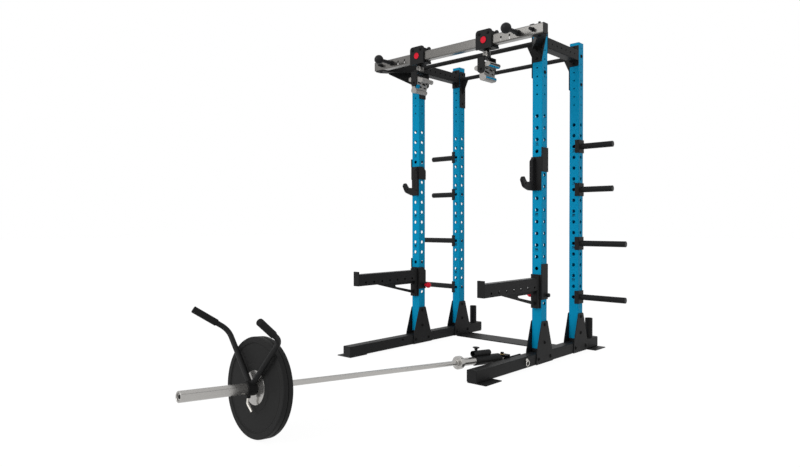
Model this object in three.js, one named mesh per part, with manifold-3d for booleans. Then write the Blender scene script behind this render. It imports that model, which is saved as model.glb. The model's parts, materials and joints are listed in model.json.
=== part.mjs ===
// Power cage (half rack) with a pull-up carriage beam, hooks, spotter arms, plate storage and a landmine
// that holds a loaded barbell. Millimetres, +Z up, -Y is the lifter's side, X runs across the rack.
import * as THREE from 'three';
import { mergeVertices } from 'three/addons/utils/BufferGeometryUtils.js';
import { ConvexGeometry } from 'three/addons/geometries/ConvexGeometry.js';
import Module from 'manifold-3d';

const wasm = await Module();
wasm.setup();

// ---- Driving dimensions -------------------------------------------------------------------------------

const seat = 0.3; // gap that every seated or bolted piece keeps to its neighbour
const running = 0.8; // clearance round a piece that slides or turns

const rackWidth = 1102; // between the uprights' centre lines, across
const rackDepth = 528; // between the front and rear uprights' centre lines
const tube = 75; // square section of uprights, runners and top side beams
const wall = 3;
const plate = 6; // thickness of bracket plates
const boltRadius = 8; // button heads that show on the outside
const boltHead = 5;

const uprightTop = 2298;
const holePitch = 80;
const holeCount = 17;
const holeDiameter = 26;
const lowestHole = 412;
const hookHole = 13; // counted from the lowest hole, 0
const armHole = 3;
const armLockDrop = 184; // of the lock pin below the arm's pin
const armLockBack = 20; // behind the upright's centre line
const pegHoles = [14, 10, 5, 0];

const footPlate = 5;
const footLength = 170;
const footReach = 66; // outward, past the runner
const runnerFront = 783; // ahead of the front uprights' centre line
const runnerRear = 290; // behind the rear uprights' centre line
const stubHeight = 22; // block on the runner that an upright stands on

const gussetHeight = 287; // above the runner's underside
const gussetHalfWidth = 112;
const gussetShoulder = 95; // height where its slanted edge starts
const gussetBoltSpread = 78;
const gussetBoltHeights = [262, 141];
const gussetLowBolt = 36;

const floorPlateWidth = 200;
const floorPlate = 8;

const holderHeight = 148;
const holderDiameter = 57;
const holderBehind = 215; // behind the rear uprights' centre line

const topLineDrop = 98; // from the uprights' tops down to the side beams' and pull-up bars' centre lines
const sideEndPlate = 150;
const sideHoles = [-160, -96, -32, 32, 96, 160]; // from the beam's middle
const sideHoleRadius = 6;
const barPlateBoltRise = 35; // above the foot of a pull-up bar's end plate
const barDiameter = 32;
const barPlateTop = 60; // above the bar's centre line
const barPlateDrop = 245; // below it
const barGussetReach = 60;
const barGussetDrop = 138;

const beamLength = 1500;
const beamHeight = 67;
const beamDepth = 57;
const beamWall = 4;
const beamFront = 300; // ahead of the front uprights' centre line
const beamLineDrop = 103; // from the uprights' tops down to its centre line
const indexHoles = [432, 498]; // where a carriage's lock can hold, from the middle of the rack
const indexHoleRadius = 7;
const capThickness = 4;
const bracketDrop = 103.5; // from the beam's underside to the foot of its bracket
const bracketPlate = 160; // height of its plate on the upright
const bracketBolts = [22, 82]; // above the foot of the bracket
const flangeInset = 6; // from the beam's end to the bracket's flange
const flangeWidth = 76; // of the flange where it meets the beam
const webRise = 14; // of the bracket's hanging web from the foot of its wall plate
const hangingWeb = 0.73; // of the way to the beam that the hanging web reaches
const standingWebDrop = 12; // of the standing web's tip under the top of the beam
const innerWebInset = 22; // of the standing web's tip from the flange's inner corner

const ballDiameter = 62;
const ballReach = 144;
const ballInset = 186; // from the beam's end
const stemRadius = 12;
const stubInset = 77; // of the bumper stub pegs, from the beam's end
const stubLength = 38;
const stubRadius = 11;
const beamBoltInset = 45; // of the bolts through the beam and the bracket's flange, from the beam's end
const beamBoltReach = 14; // above and below the beam

const carriageAt = 300;
const carriageWidth = 130;
const carriageTop = 75; // above the beam's centre line
const carriageBottom = 48;
const carriagePlate = 12;
const carriageFaceDrop = 6; // of its front plate below its underside
const carriageCrown = 28; // of its body above the beam
const carriageRear = 26; // thickness of its body behind the beam
const buttonDiameter = 52;
const buttonDepth = 7;
const buttonRise = 3;
const lugRadius = 18;
const lugThickness = 12;
const lugDrop = 24; // from the carriage's underside to the swing bolt
const forkWidth = 40;
const forkDepth = 44;
const forkDrop = 60; // from the carriage's underside to the fork's foot
const yokeWidth = 55;
const yokePlate = 9;
const yokeDrop = 112;
const gripLength = 124;
const gripAxisDrop = 88; // from the yoke's top to the grip's axis
const gripLobe = 16; // radius of the rounded hand grips
const gripHang = [0, -12]; // degrees that the right and left blocks are turned at rest
const axleRadius = 9;

const hookInset = 20; // the hook's plate lies this far inside the upright's centre line
const hookThickness = 24;
const hookTop = 1414;
const hookBottom = 1184;
const hookFace = 44; // depth of the hook's body ahead of its wrap plate
const hookCupRise = 56; // from the hook's foot to the floor of its cup
const hookCupDepth = 62; // ahead of the hook's body
const hookLipReach = 117; // ahead of the hook's body
const hookLipRise = 46; // above the floor of the cup
const hookChamfer = 26;
const outerTabRise = 25; // above the pin
const hookOuterBottom = 1313;
const pinClearance = 1.5;

const armFront = 686; // ahead of the uprights' centre line
const armWidth = 55;
const armHeight = 75;
const armTop = 587;
const armLip = 23; // above the arm's top
const armCollarTop = 607;
const armCollarBottom = 440;
const armPlateBottom = 392;
const armPost = 26; // depth of the post between wrap plate and arm
const strutPlate = 10;
const strutFoot = 491; // ahead of the uprights' centre line
const strutDrop = 100;
const strutSolid = 210; // of the strut ahead of its opening
const armHoleCount = 7;
const armHoleRadius = 8;
const armHoleStart = 38; // ahead of the post
const armHoleRise = 28; // above the arm's underside
const lockBoss = 10; // length of the boss round the lock pin
const knobRadius = 13;

const pegDiameter = 43;
const pegLengths = [248, 248, 347, 347];
const saddleHeight = 96;
const saddleWrap = 26;

const barbellRadius = 14;
const sleeveRadius = 24.5;
const sleeveLength = 415;
const shaftLength = 1340;
const collarRadius = 40;
const collarLength = 30;
const barbellStart = 50; // from the landmine's pivot to the sleeve's end in the tube
const innerSleeve = 390;
const plateDiameter = 450;
const plateWidth = 26;
const plateHub = 84;
const plateGap = 7;
const plateEdge = 3; // chamfer round the rim

const pivotInboard = 81; // landmine pivot, inside the runner's centre line
const pivotAhead = 335; // ahead of the front uprights' centre line
const pivotHeight = 79;
const barbellYaw = 1.63; // degrees
const landmineTubeRadius = 31;
const landmineTubeBore = 26;
const landmineTubeEnd = 300;
const landmineTubeStart = 45;
const pitchAxis = 26; // ahead of the vertical pivot bolt
const sideTubeRadius = 19;
const sideTubeLength = 170;
const sideTubeOverhang = 20;
const pivotBolt = 9;
const swivelWidth = 34;
const swivelHeight = 26;
const earThickness = 8;
const ringPinAhead = 230;
const ringPinHeight = 58;
const wallPlateReach = [55, 70]; // of the landmine's wall plate behind and ahead of that pin
const ringPinRadius = 7;
const ringRadius = 18;

const handleBore = 25.2;
const handleRadius = 33;
const handleLength = 45;
const armRadius = 14;
const gripRadius = 18;
const gripSleeve = 117; // length of the rubber sleeve on each arm
const handleBend = 42; // from the corner of an arm to where its bend starts and ends
const leverRadius = 6;
const leverDrop = 34; // of the clamping lever below the tube
const handleArm = [205, 251, 6]; // sideways, up and forward from the tube to the bend
const handleTip = [271, 321, 147];

// ---- Derived places -----------------------------------------------------------------------------------

const half = tube / 2;
const side = rackWidth / 2;
const runnerBase = footPlate;
const runnerTop = runnerBase + tube;
const uprightFoot = runnerTop + stubHeight + seat;
const frontY = -rackDepth - 12; // the origin is the middle of the rear floor plate's underside
const rearY = frontY + rackDepth;
const holeHeight = (index) => lowestHole + index * holePitch;
const beamY = frontY - beamFront + beamDepth / 2;
const beamFaceY = frontY - beamFront;
const topLine = uprightTop - topLineDrop;
const beamLine = uprightTop - beamLineDrop;
const beamBottom = beamLine - beamHeight / 2;
const bracketFoot = beamBottom - bracketDrop;
const beamEnd = beamLength / 2;
const beamBoltAt = beamEnd - beamBoltInset;
const flangeOuter = beamEnd - flangeInset;
const flangeInner = flangeOuter - flangeWidth;
const hookPinHeight = holeHeight(hookHole);
const armPinHeight = holeHeight(armHole);
const armLockHeight = armPinHeight - armLockDrop;
const armLockY = frontY + armLockBack;

// ---- Solids -------------------------------------------------------------------------------------------

function toSolid(geometry) {
  let bare = geometry.index ? geometry : geometry.clone();
  bare = bare.clone();
  bare.deleteAttribute('normal');
  bare.deleteAttribute('uv');
  bare = mergeVertices(bare, 1e-4);
  return new wasm.Manifold(new wasm.Mesh({
    numProp: 3,
    vertProperties: new Float32Array(bare.attributes.position.array),
    triVerts: new Uint32Array(bare.index.array),
  }));
}

function toGeometry(solid) {
  const mesh = solid.getMesh();
  const geometry = new THREE.BufferGeometry();
  const count = mesh.vertProperties.length / mesh.numProp;
  const positions = new Float32Array(count * 3);
  for (let vertex = 0; vertex < count; vertex += 1) {
    for (let axis = 0; axis < 3; axis += 1) {
      positions[vertex * 3 + axis] = mesh.vertProperties[vertex * mesh.numProp + axis];
    }
  }
  geometry.setAttribute('position', new THREE.BufferAttribute(positions, 3));
  geometry.setIndex(new THREE.BufferAttribute(new Uint32Array(mesh.triVerts), 1));
  geometry.computeVertexNormals();
  return geometry;
}

// A box between two X, two Y and two Z values, given in either order.
function block(xs, ys, zs) {
  const size = [xs, ys, zs].map(([from, to]) => Math.abs(to - from));
  const middle = [xs, ys, zs].map(([from, to]) => (from + to) / 2);
  return toSolid(new THREE.BoxGeometry(...size).translate(...middle));
}

function point(x, y, z) {
  return new THREE.Vector3(x, y, z);
}

// A round bar between two points; a second radius makes it a cone.
function rod(from, to, radius, sides = 12, endRadius = radius) {
  const along = to.clone().sub(from);
  const geometry = new THREE.CylinderGeometry(endRadius, radius, along.length(), sides);
  geometry.rotateY(Math.PI / sides);
  const turn = new THREE.Quaternion().setFromUnitVectors(point(0, 1, 0), along.clone().normalize());
  geometry.applyQuaternion(turn);
  const middle = from.clone().add(to).multiplyScalar(0.5);
  return toSolid(geometry.translate(middle.x, middle.y, middle.z));
}

// A round bar through points that lie in one plane, mitred where it bends, with a radius for each point.
function bentBar(points, radii, sides = 10) {
  const last = points.length - 1;
  const legs = points.slice(1).map((next, index) => next.clone().sub(points[index]).normalize());
  const bend = legs.findIndex((leg, index) => index > 0 && leg.dot(legs[0]) < 0.9999);
  const sideways = legs[0].clone().cross(legs[bend]).normalize();
  const corners = [];
  points.forEach((middle, index) => {
    const [before, after] = [legs[Math.max(index - 1, 0)], legs[Math.min(index, last - 1)]];
    const along = before.clone().add(after).normalize();
    const upward = sideways.clone().cross(along).divideScalar(along.dot(before));
    for (let step = 0; step < sides; step += 1) {
      const angle = (step / sides) * 2 * Math.PI;
      const corner = middle.clone().addScaledVector(sideways, radii[index] * Math.cos(angle));
      corners.push(...corner.addScaledVector(upward, radii[index] * Math.sin(angle)).toArray());
    }
  });
  const faces = [];
  for (let step = 0; step < sides; step += 1) {
    const next = (step + 1) % sides;
    for (let index = 0; index < last; index += 1) {
      const [low, high] = [index * sides, (index + 1) * sides];
      faces.push(low + step, high + next, low + next, low + step, high + step, high + next);
    }
    if (step > 0 && next > 0) {
      faces.push(0, step, next, last * sides, last * sides + next, last * sides + step);
    }
  }
  const geometry = new THREE.BufferGeometry();
  geometry.setAttribute('position', new THREE.Float32BufferAttribute(corners, 3));
  return toSolid(geometry.setIndex(faces));
}

function ball(centre, radius, sides = 12) {
  return toSolid(new THREE.SphereGeometry(radius, sides, sides / 2 + 2).translate(centre.x, centre.y, centre.z));
}

function hull(points) {
  return toSolid(new ConvexGeometry(points));
}

function outlineShape(outline) {
  return new THREE.Shape(outline.map(([u, v]) => new THREE.Vector2(u, v)));
}

// An outline of (y, z) points, extruded along X between two values.
function sheetAcrossX(outline, xs) {
  const [low, high] = [Math.min(...xs), Math.max(...xs)];
  const geometry = new THREE.ExtrudeGeometry(outlineShape(outline), { depth: high - low, bevelEnabled: false });
  const basis = new THREE.Matrix4().makeBasis(point(0, 1, 0), point(0, 0, 1), point(1, 0, 0));
  return toSolid(geometry.applyMatrix4(basis).translate(low, 0, 0));
}

// An outline of (x, y) points, extruded along Z between two values.
function sheetAcrossZ(outline, zs) {
  const [low, high] = [Math.min(...zs), Math.max(...zs)];
  const geometry = new THREE.ExtrudeGeometry(outlineShape(outline), { depth: high - low, bevelEnabled: false });
  return toSolid(geometry.translate(0, 0, low));
}

// An outline of (x, z) points, extruded along Y between two values.
function sheetAcrossY(outline, ys) {
  const [low, high] = [Math.min(...ys), Math.max(...ys)];
  const geometry = new THREE.ExtrudeGeometry(outlineShape(outline), { depth: high - low, bevelEnabled: false });
  const basis = new THREE.Matrix4().makeBasis(point(1, 0, 0), point(0, 0, 1), point(0, -1, 0));
  return toSolid(geometry.applyMatrix4(basis).translate(0, high, 0));
}

function join(...solids) {
  return solids.reduce((whole, next) => whole.add(next));
}

function cut(whole, ...tools) {
  return tools.reduce((rest, tool) => rest.subtract(tool), whole);
}

function boltAcrossX(face, outward, y, z) {
  return rod(point(face - outward, y, z), point(face + outward * boltHead, y, z), boltRadius, 6);
}

function boltAcrossY(x, face, outward, z) {
  return rod(point(x, face - outward, z), point(x, face + outward * boltHead, z), boltRadius, 6);
}

// ---- Materials ----------------------------------------------------------------------------------------

const finish = (color, roughness, metalness) => new THREE.MeshStandardMaterial({ color, roughness, metalness });
const blueSteel = finish(0x0088b6, 0.45, 0.1);
const blackSteel = finish(0x2a2a2a, 0.55, 0.1);
const greySteel = finish(0x85827f, 0.4, 0.8);
const chrome = finish(0xc8c8c8, 0.15, 1);
const rubber = finish(0x262626, 0.8, 0);
const plastic = finish(0x202020, 0.5, 0);
const redPlastic = finish(0xd01e32, 0.4, 0);

const cage = new THREE.Group();

function piece(name, solid, material, parent = cage) {
  const mesh = new THREE.Mesh(toGeometry(solid), material);
  mesh.name = name;
  parent.add(mesh);
  return mesh;
}

const sides = [['left', -1], ['right', 1]];
const corners = [];
for (const [label, sign] of sides) {
  corners.push([`front_${label}`, sign, frontY, 1]);
  corners.push([`rear_${label}`, sign, rearY, -1]);
}

// ---- Uprights -----------------------------------------------------------------------------------------

function upright(x, y) {
  const inner = half - wall;
  const shell = block([x - half, x + half], [y - half, y + half], [uprightFoot, uprightTop]);
  const core = block([x - inner, x + inner], [y - inner, y + inner], [uprightFoot - wall, uprightTop - wall]);
  const holes = [];
  for (let index = 0; index < holeCount; index += 1) {
    const z = holeHeight(index);
    holes.push(rod(point(x - tube, y, z), point(x + tube, y, z), holeDiameter / 2, 6));
    holes.push(rod(point(x, y - tube, z), point(x, y + tube, z), holeDiameter / 2, 6));
  }
  return cut(shell, core, ...holes);
}

for (const [label, sign, y] of corners) {
  piece(`upright_${label}`, upright(sign * side, y), blueSteel);
}

// ---- Base ---------------------------------------------------------------------------------------------

function runner(sign) {
  const x = sign * side;
  const [front, rear] = [frontY - runnerFront, rearY + runnerRear];
  const inner = half - wall;
  const body = block([x - half, x + half], [front, rear], [runnerBase, runnerTop]);
  const hollow = block([x - inner, x + inner], [front + wall, rear - wall], [runnerBase + wall, runnerTop - wall]);
  const pinY = frontY - ringPinAhead;
  const pinHole = rod(point(x - tube, pinY, ringPinHeight), point(x + tube, pinY, ringPinHeight),
    ringPinRadius + running, 8);
  const feet = [front, rear - footLength].map((start) => block(
    [x - sign * (half - 2), x + sign * (half + footReach)], [start, start + footLength], [0, runnerBase + wall / 3]));
  const stubs = [frontY, rearY].map((y) => block(
    [x - half, x + half], [y - half, y + half], [runnerTop - wall / 3, runnerTop + stubHeight]));
  const holderY = rearY + holderBehind;
  const holder = rod(point(x, holderY, runnerTop - wall / 3), point(x, holderY, runnerTop + holderHeight),
    holderDiameter / 2, 16);
  const holderBore = rod(point(x, holderY, runnerTop), point(x, holderY, runnerTop + holderHeight + wall),
    holderDiameter / 2 - wall, 16);
  return cut(join(cut(body, hollow, pinHole), ...feet, ...stubs, holder), holderBore);
}

function gusset(x, outward, y) {
  const [near, far] = [x + outward * (half + seat), x + outward * (half + seat + plate)];
  const foot = runnerBase + seat;
  const outline = [[-gussetHalfWidth, foot], [gussetHalfWidth, foot], [gussetHalfWidth - 12, gussetShoulder],
    [half, runnerBase + gussetHeight], [-half, runnerBase + gussetHeight], [12 - gussetHalfWidth, gussetShoulder]];
  const sheet = sheetAcrossX(outline.map(([v, z]) => [y + v, z]), [near, far]);
  const heads = gussetBoltHeights.map((z) => boltAcrossX(far, outward, y, runnerBase + z));
  for (const v of [-gussetBoltSpread, gussetBoltSpread]) {
    heads.push(boltAcrossX(far, outward, y + v, runnerBase + gussetLowBolt));
  }
  return join(sheet, ...heads);
}

for (const [label, sign] of sides) {
  piece(`base_runner_${label}`, runner(sign), blackSteel);
}
for (const [label, sign, y] of corners) {
  piece(`gusset_outer_${label}`, gusset(sign * side, sign, y), blackSteel);
  piece(`gusset_inner_${label}`, gusset(sign * side, -sign, y), blackSteel);
}

function floorCrossmember() {
  const reach = side - half - plate - boltHead - 2 * seat;
  const flat = block([-reach, reach], [-floorPlateWidth / 2, floorPlateWidth / 2], [0, floorPlate]);
  const tongueReach = side - half - plate - 2 * seat;
  const tongues = [-1, 1].map((sign) => block(
    [sign * (reach - plate), sign * tongueReach], [-floorPlateWidth / 2, floorPlateWidth / 2], [0, floorPlate]));
  return join(flat, ...tongues);
}
piece('floor_crossmember', floorCrossmember(), blackSteel);

// ---- Top frame ----------------------------------------------------------------------------------------

function sideBeam(sign) {
  const x = sign * side;
  const [front, rear] = [frontY + half + seat, rearY - half - seat];
  const [low, high] = [topLine - half, topLine + half];
  const inner = half - wall;
  const body = block([x - half, x + half], [front + plate / 2, rear - plate / 2], [low, high]);
  const hollow = block([x - inner, x + inner], [front + plate, rear - plate], [low + wall, high - wall]);
  const holes = sideHoles.map((v) => rod(point(x - tube, (front + rear) / 2 + v, topLine),
    point(x + tube, (front + rear) / 2 + v, topLine), sideHoleRadius, 6));
  const ends = [[front, front + plate], [rear - plate, rear]].map((ys) => block(
    [x - half, x + half], ys, [topLine - sideEndPlate / 2, topLine + sideEndPlate / 2]));
  return join(cut(body, hollow, ...holes), ...ends);
}

function pullUpBar(y) {
  const reach = side - half - seat;
  const bar = rod(point(-reach + plate / 2, y, topLine), point(reach - plate / 2, y, topLine), barDiameter / 2, 12);
  const ends = [-1, 1].map((sign) => {
    const face = sign * reach;
    const flat = block([face, face - sign * plate], [y - half, y + half],
      [topLine - barPlateDrop, topLine + barPlateTop]);
    const inner = face - sign * plate / 2;
    const web = sheetAcrossY([[inner, topLine], [inner - sign * barGussetReach, topLine],
      [inner - sign * barGussetReach, topLine - barDiameter / 2], [inner, topLine - barGussetDrop]],
    [y - plate / 2, y + plate / 2]);
    const head = boltAcrossX(face - sign * plate, -sign, y, topLine - barPlateDrop + barPlateBoltRise);
    return join(flat, web, head);
  });
  return join(bar, ...ends);
}

for (const [label, sign] of sides) {
  piece(`top_side_beam_${label}`, sideBeam(sign), blackSteel);
}
piece('pull_up_bar_front', pullUpBar(frontY), blackSteel);
piece('pull_up_bar_rear', pullUpBar(rearY), blackSteel);

// ---- Front beam and its brackets ----------------------------------------------------------------------

function frontBeam() {
  const reach = beamEnd - capThickness - seat;
  const [low, high] = [beamBottom, beamBottom + beamHeight];
  const [front, rear] = [beamFaceY, beamFaceY + beamDepth];
  const body = block([-reach, reach], [front, rear], [low, high]);
  const hollow = block([-reach - 1, reach + 1], [front + beamWall, rear - beamWall],
    [low + beamWall, high - beamWall]);
  const index = [];
  for (const sign of [-1, 1]) {
    for (const x of indexHoles) {
      index.push(rod(point(sign * x, front - 1, beamLine), point(sign * x, front + 2 * beamWall, beamLine),
        indexHoleRadius, 6));
    }
  }
  const stubAt = beamEnd - stubInset;
  const stubs = [-1, 1].map((sign) => rod(point(sign * stubAt, front + beamWall / 2, beamLine),
    point(sign * stubAt, front - stubLength, beamLine), stubRadius, 8));
  const bolts = [-1, 1].map((sign) => rod(point(sign * beamBoltAt, beamY, low - beamBoltReach),
    point(sign * beamBoltAt, beamY, high + beamBoltReach), boltRadius, 8));
  return join(cut(body, hollow, ...index), ...stubs, ...bolts);
}

function beamCap(sign) {
  const inside = beamEnd - capThickness;
  const flange = block([sign * inside, sign * beamEnd], [beamFaceY, beamFaceY + beamDepth],
    [beamBottom, beamBottom + beamHeight]);
  const inset = beamWall + seat;
  const plug = block([sign * (inside - 18), sign * (inside + 1)], [beamFaceY + inset, beamFaceY + beamDepth - inset],
    [beamBottom + inset, beamBottom + beamHeight - inset]);
  return join(flange, plug);
}

function beamBracket(sign) {
  const face = frontY - half - seat;
  const flangeTop = beamBottom - seat;
  const flangeLow = flangeTop - plate;
  const [inner, outer] = [sign * (side - half), sign * (side + half)];
  const rear = beamFaceY + beamDepth;
  const lip = beamFaceY + beamWall;
  const flat = block([inner, outer], [face - plate, face], [bracketFoot, bracketFoot + bracketPlate]);
  const flange = sheetAcrossZ([[inner, face - 1], [outer, face - 1], [sign * flangeOuter, rear],
    [sign * flangeOuter, lip], [sign * flangeInner, lip], [sign * flangeInner, rear]], [flangeLow, flangeTop]);
  const web = (inward, corners) => hull(corners.flatMap(
    ([x, y, z]) => [point(x, y, z), point(x + inward * plate, y, z)]));
  const reach = outer + (sign * flangeOuter - outer) * hangingWeb;
  const depth = face + (rear - face) * hangingWeb;
  const webs = [web(-sign, [[outer, face - 1, bracketFoot + webRise], [outer, face - 1, flangeLow + 1],
    [reach, depth, flangeLow + 1], [reach, depth, flangeLow - plate]]),
  web(sign, [[inner, face - 1, flangeTop - 1], [inner, face - 1, bracketFoot + bracketPlate],
    [sign * (flangeInner + innerWebInset), rear + seat, flangeTop - 1],
    [sign * (flangeInner + innerWebInset), rear + seat, beamBottom + beamHeight - standingWebDrop]])];
  const bore = rod(point(sign * beamBoltAt, beamY, flangeLow - plate), point(sign * beamBoltAt, beamY, flangeTop + 1),
    boltRadius + running, 8);
  const heads = bracketBolts.map((rise) => boltAcrossY(sign * side, face - plate, -1, bracketFoot + rise));
  return join(flat, cut(flange, bore), ...webs, ...heads);
}

function ballHandle(sign) {
  const x = sign * (beamEnd - ballInset);
  const face = beamFaceY - seat;
  const flange = rod(point(x, face, beamLine), point(x, face - 10, beamLine), 20, 12);
  const collar = rod(point(x, face - 8, beamLine), point(x, face - 42, beamLine), 17, 12, 15);
  const stem = rod(point(x, face - 40, beamLine), point(x, face - ballReach, beamLine), stemRadius, 12, stemRadius + 3);
  return join(flange, collar, stem, ball(point(x, face - ballReach, beamLine), ballDiameter / 2, 10));
}

piece('front_beam', frontBeam(), greySteel);
for (const [label, sign] of sides) {
  piece(`beam_cap_${label}`, beamCap(sign), plastic);
  piece(`beam_bracket_${label}`, beamBracket(sign), blackSteel);
  piece(`ball_grip_${label}`, ballHandle(sign), plastic);
}

// ---- Sliding carriages with their hanging multi-grip blocks --------------------------------------------

const carriageFace = beamFaceY - running - carriagePlate;
const carriageUnder = beamLine - carriageBottom;
const buttonLine = beamLine + 5;
const swingLine = carriageUnder - lugDrop;
const forkFoot = carriageUnder - forkDrop;
const yokeTop = forkFoot - seat;
const gripAxis = yokeTop - gripAxisDrop;

function carriage(x) {
  const w = carriageWidth / 2;
  const [low, high] = [carriageUnder, beamLine + carriageTop];
  const round = 22;
  const front = [[x - w, low - carriageFaceDrop], [x + w, low - carriageFaceDrop], [x + w, high - round], [x + w - 6, high - 8], [x + w - round, high],
    [x - w + round, high], [x - w + 6, high - 8], [x - w, high - round]];
  const face = sheetAcrossY(front, [carriageFace, beamFaceY - running]);
  const rearY0 = beamFaceY + beamDepth + running;
  const body = block([x - w + 8, x + w - 8], [beamFaceY - running - 1, rearY0 + carriageRear],
    [low, beamLine + beamHeight / 2 + carriageCrown]);
  const channel = block([x - w, x + w], [beamFaceY - running, rearY0],
    [beamBottom - running, beamBottom + beamHeight + running]);
  const pocket = rod(point(x, carriageFace - 1, buttonLine),
    point(x, carriageFace + buttonDepth, buttonLine), buttonDiameter / 2 + running, 16);
  const heads = [-36, 36].map((v) => boltAcrossY(x + v, carriageFace, -1, high - 26));
  const lug = join(
    block([x - lugRadius, x + lugRadius], [beamY - lugThickness / 2, beamY + lugThickness / 2], [swingLine, low + 1]),
    rod(point(x, beamY - lugThickness / 2, swingLine), point(x, beamY + lugThickness / 2, swingLine), lugRadius, 16));
  return join(cut(join(face, body), channel, pocket), ...heads, lug);
}

function lockButton(x) {
  const back = carriageFace + buttonDepth - running - 3;
  return rod(point(x, back, buttonLine), point(x, carriageFace - buttonRise, buttonLine), buttonDiameter / 2, 16);
}

function swivelFork(x) {
  const w = forkWidth / 2;
  const cheekInner = lugThickness / 2 + running;
  const outline = [[x - w, forkFoot], [x + w, forkFoot], [x + w, swingLine + 4], [x + w - 6, swingLine + 13],
    [x - w + 6, swingLine + 13], [x - w, swingLine + 4]];
  const body = sheetAcrossY(outline, [beamY - forkDepth / 2, beamY + forkDepth / 2]);
  const slot = block([x - forkWidth, x + forkWidth], [beamY - cheekInner, beamY + cheekInner],
    [swingLine - lugRadius - running, swingLine + forkWidth]);
  const heads = [-1, 1].map((outward) => boltAcrossY(x, beamY + outward * forkDepth / 2, outward, swingLine));
  return join(cut(body, slot), ...heads);
}

function yoke(x) {
  const reach = gripLength / 2 + running + yokePlate;
  const low = yokeTop - yokeDrop;
  const w = yokeWidth / 2;
  const top = block([x - w, x + w], [beamY - reach, beamY + reach], [yokeTop - yokePlate, yokeTop]);
  const outline = [[x - w + 14, low], [x + w - 14, low], [x + w - 4, low + 6], [x + w, low + 16], [x + w, yokeTop - 1],
    [x - w, yokeTop - 1], [x - w, low + 16], [x - w + 4, low + 6]];
  const arms = [-1, 1].map((sign) => join(
    sheetAcrossY(outline, [beamY + sign * (reach - yokePlate), beamY + sign * reach]),
    rod(point(x, beamY + sign * (reach + boltHead), gripAxis), point(x, beamY + sign * (gripLength / 2 - 10), gripAxis),
      axleRadius, 10)));
  return join(top, ...arms);
}

// One block of hand grips, turned about its axle by its hanging angle.
function gripBlock(x, degrees) {
  const reach = gripLength / 2;
  const turned = (u, v) => new THREE.Vector2(u, v).rotateAround(new THREE.Vector2(), THREE.MathUtils.degToRad(degrees));
  const bar = (circles) => hull(circles.flatMap(([u, v, radius]) => {
    const middle = turned(u, v);
    const rim = [];
    for (let step = 0; step < 12; step += 1) {
      const angle = (step / 12) * 2 * Math.PI;
      for (const y of [beamY - reach, beamY + reach]) {
        rim.push(point(x + middle.x + radius * Math.cos(angle), y, gripAxis + middle.y + radius * Math.sin(angle)));
      }
    }
    return rim;
  }));
  const body = bar([[2, 36, gripLobe], [20, 36, gripLobe], [0, -58, gripLobe], [22, -58, gripLobe]]);
  const leftGrip = bar([[-42, 16, gripLobe], [0, 22, gripLobe]]);
  const rightGrip = bar([[54, 30, gripLobe], [20, 28, gripLobe]]);
  const bores = [-1, 1].map((sign) => rod(point(x, beamY + sign * (reach + 1), gripAxis),
    point(x, beamY + sign * (reach - 12), gripAxis), axleRadius + running, 10));
  return cut(join(body, leftGrip, rightGrip), ...bores);
}

for (const [label, sign] of sides) {
  const x = sign * carriageAt;
  piece(`carriage_${label}`, carriage(x), blackSteel);
  piece(`lock_button_${label}`, lockButton(x), redPlastic);
  piece(`swivel_fork_${label}`, swivelFork(x), greySteel);
  piece(`grip_yoke_${label}`, yoke(x), blackSteel);
  piece(`grip_block_${label}`, gripBlock(x, sign > 0 ? gripHang[0] : gripHang[1]), greySteel);
}

// ---- J-hooks and spotter arms --------------------------------------------------------------------------

// The wrap that hangs both on the front uprights: a front plate, an outer side plate with the pin that
// goes in the upright's hole, and a shorter inner side plate.
function wrap(sign, heights) {
  const x = sign * side;
  const inside = half + running;
  const face = frontY - inside;
  const [outerIn, outerOut] = [x + sign * inside, x + sign * (inside + plate)];
  const [innerIn, innerOut] = [x - sign * inside, x - sign * (inside + plate)];
  const front = block([innerOut, outerOut], [face - plate, face], [heights.bottom, heights.top]);
  const outer = block([outerIn, outerOut], [face - plate, frontY + half], [heights.sideBottom, heights.pin + outerTabRise]);
  const chamfer = 30;
  const inner = sheetAcrossX([[face - plate, heights.sideBottom], [frontY + half, heights.sideBottom],
    [frontY + half, heights.top - chamfer], [frontY + half - chamfer, heights.top], [face - plate, heights.top]],
  [innerIn, innerOut]);
  const pin = rod(point(outerOut - sign, frontY, heights.pin),
    point(x + sign * (half - wall - 8), frontY, heights.pin), holeDiameter / 2 - pinClearance - 2, 8);
  return join(front, outer, inner, pin);
}

function jHook(sign) {
  const x = sign * (side - hookInset);
  const face = frontY - half - running - plate + 1;
  const front = face - hookFace;
  const cup = hookBottom + hookCupRise;
  const [throat, lip] = [front - hookCupDepth, front - hookLipReach];
  const outline = [[face, hookBottom], [face, hookTop], [front + hookChamfer, hookTop], [front, hookTop - hookChamfer],
    [front, cup + 6], [front - 12, cup], [throat, cup], [throat - 10, cup + 3], [lip + 22, cup + hookLipRise - 1],
    [lip + 9, cup + hookLipRise], [lip, cup + hookLipRise / 2], [lip + 25, cup - 27], [lip + 39, cup - 38],
    [front - 25, hookBottom]];
  const body = sheetAcrossX(outline, [x - hookThickness / 2, x + hookThickness / 2]);
  return join(wrap(sign, { pin: hookPinHeight, top: hookTop, bottom: hookBottom, sideBottom: hookOuterBottom }), body);
}

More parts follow.
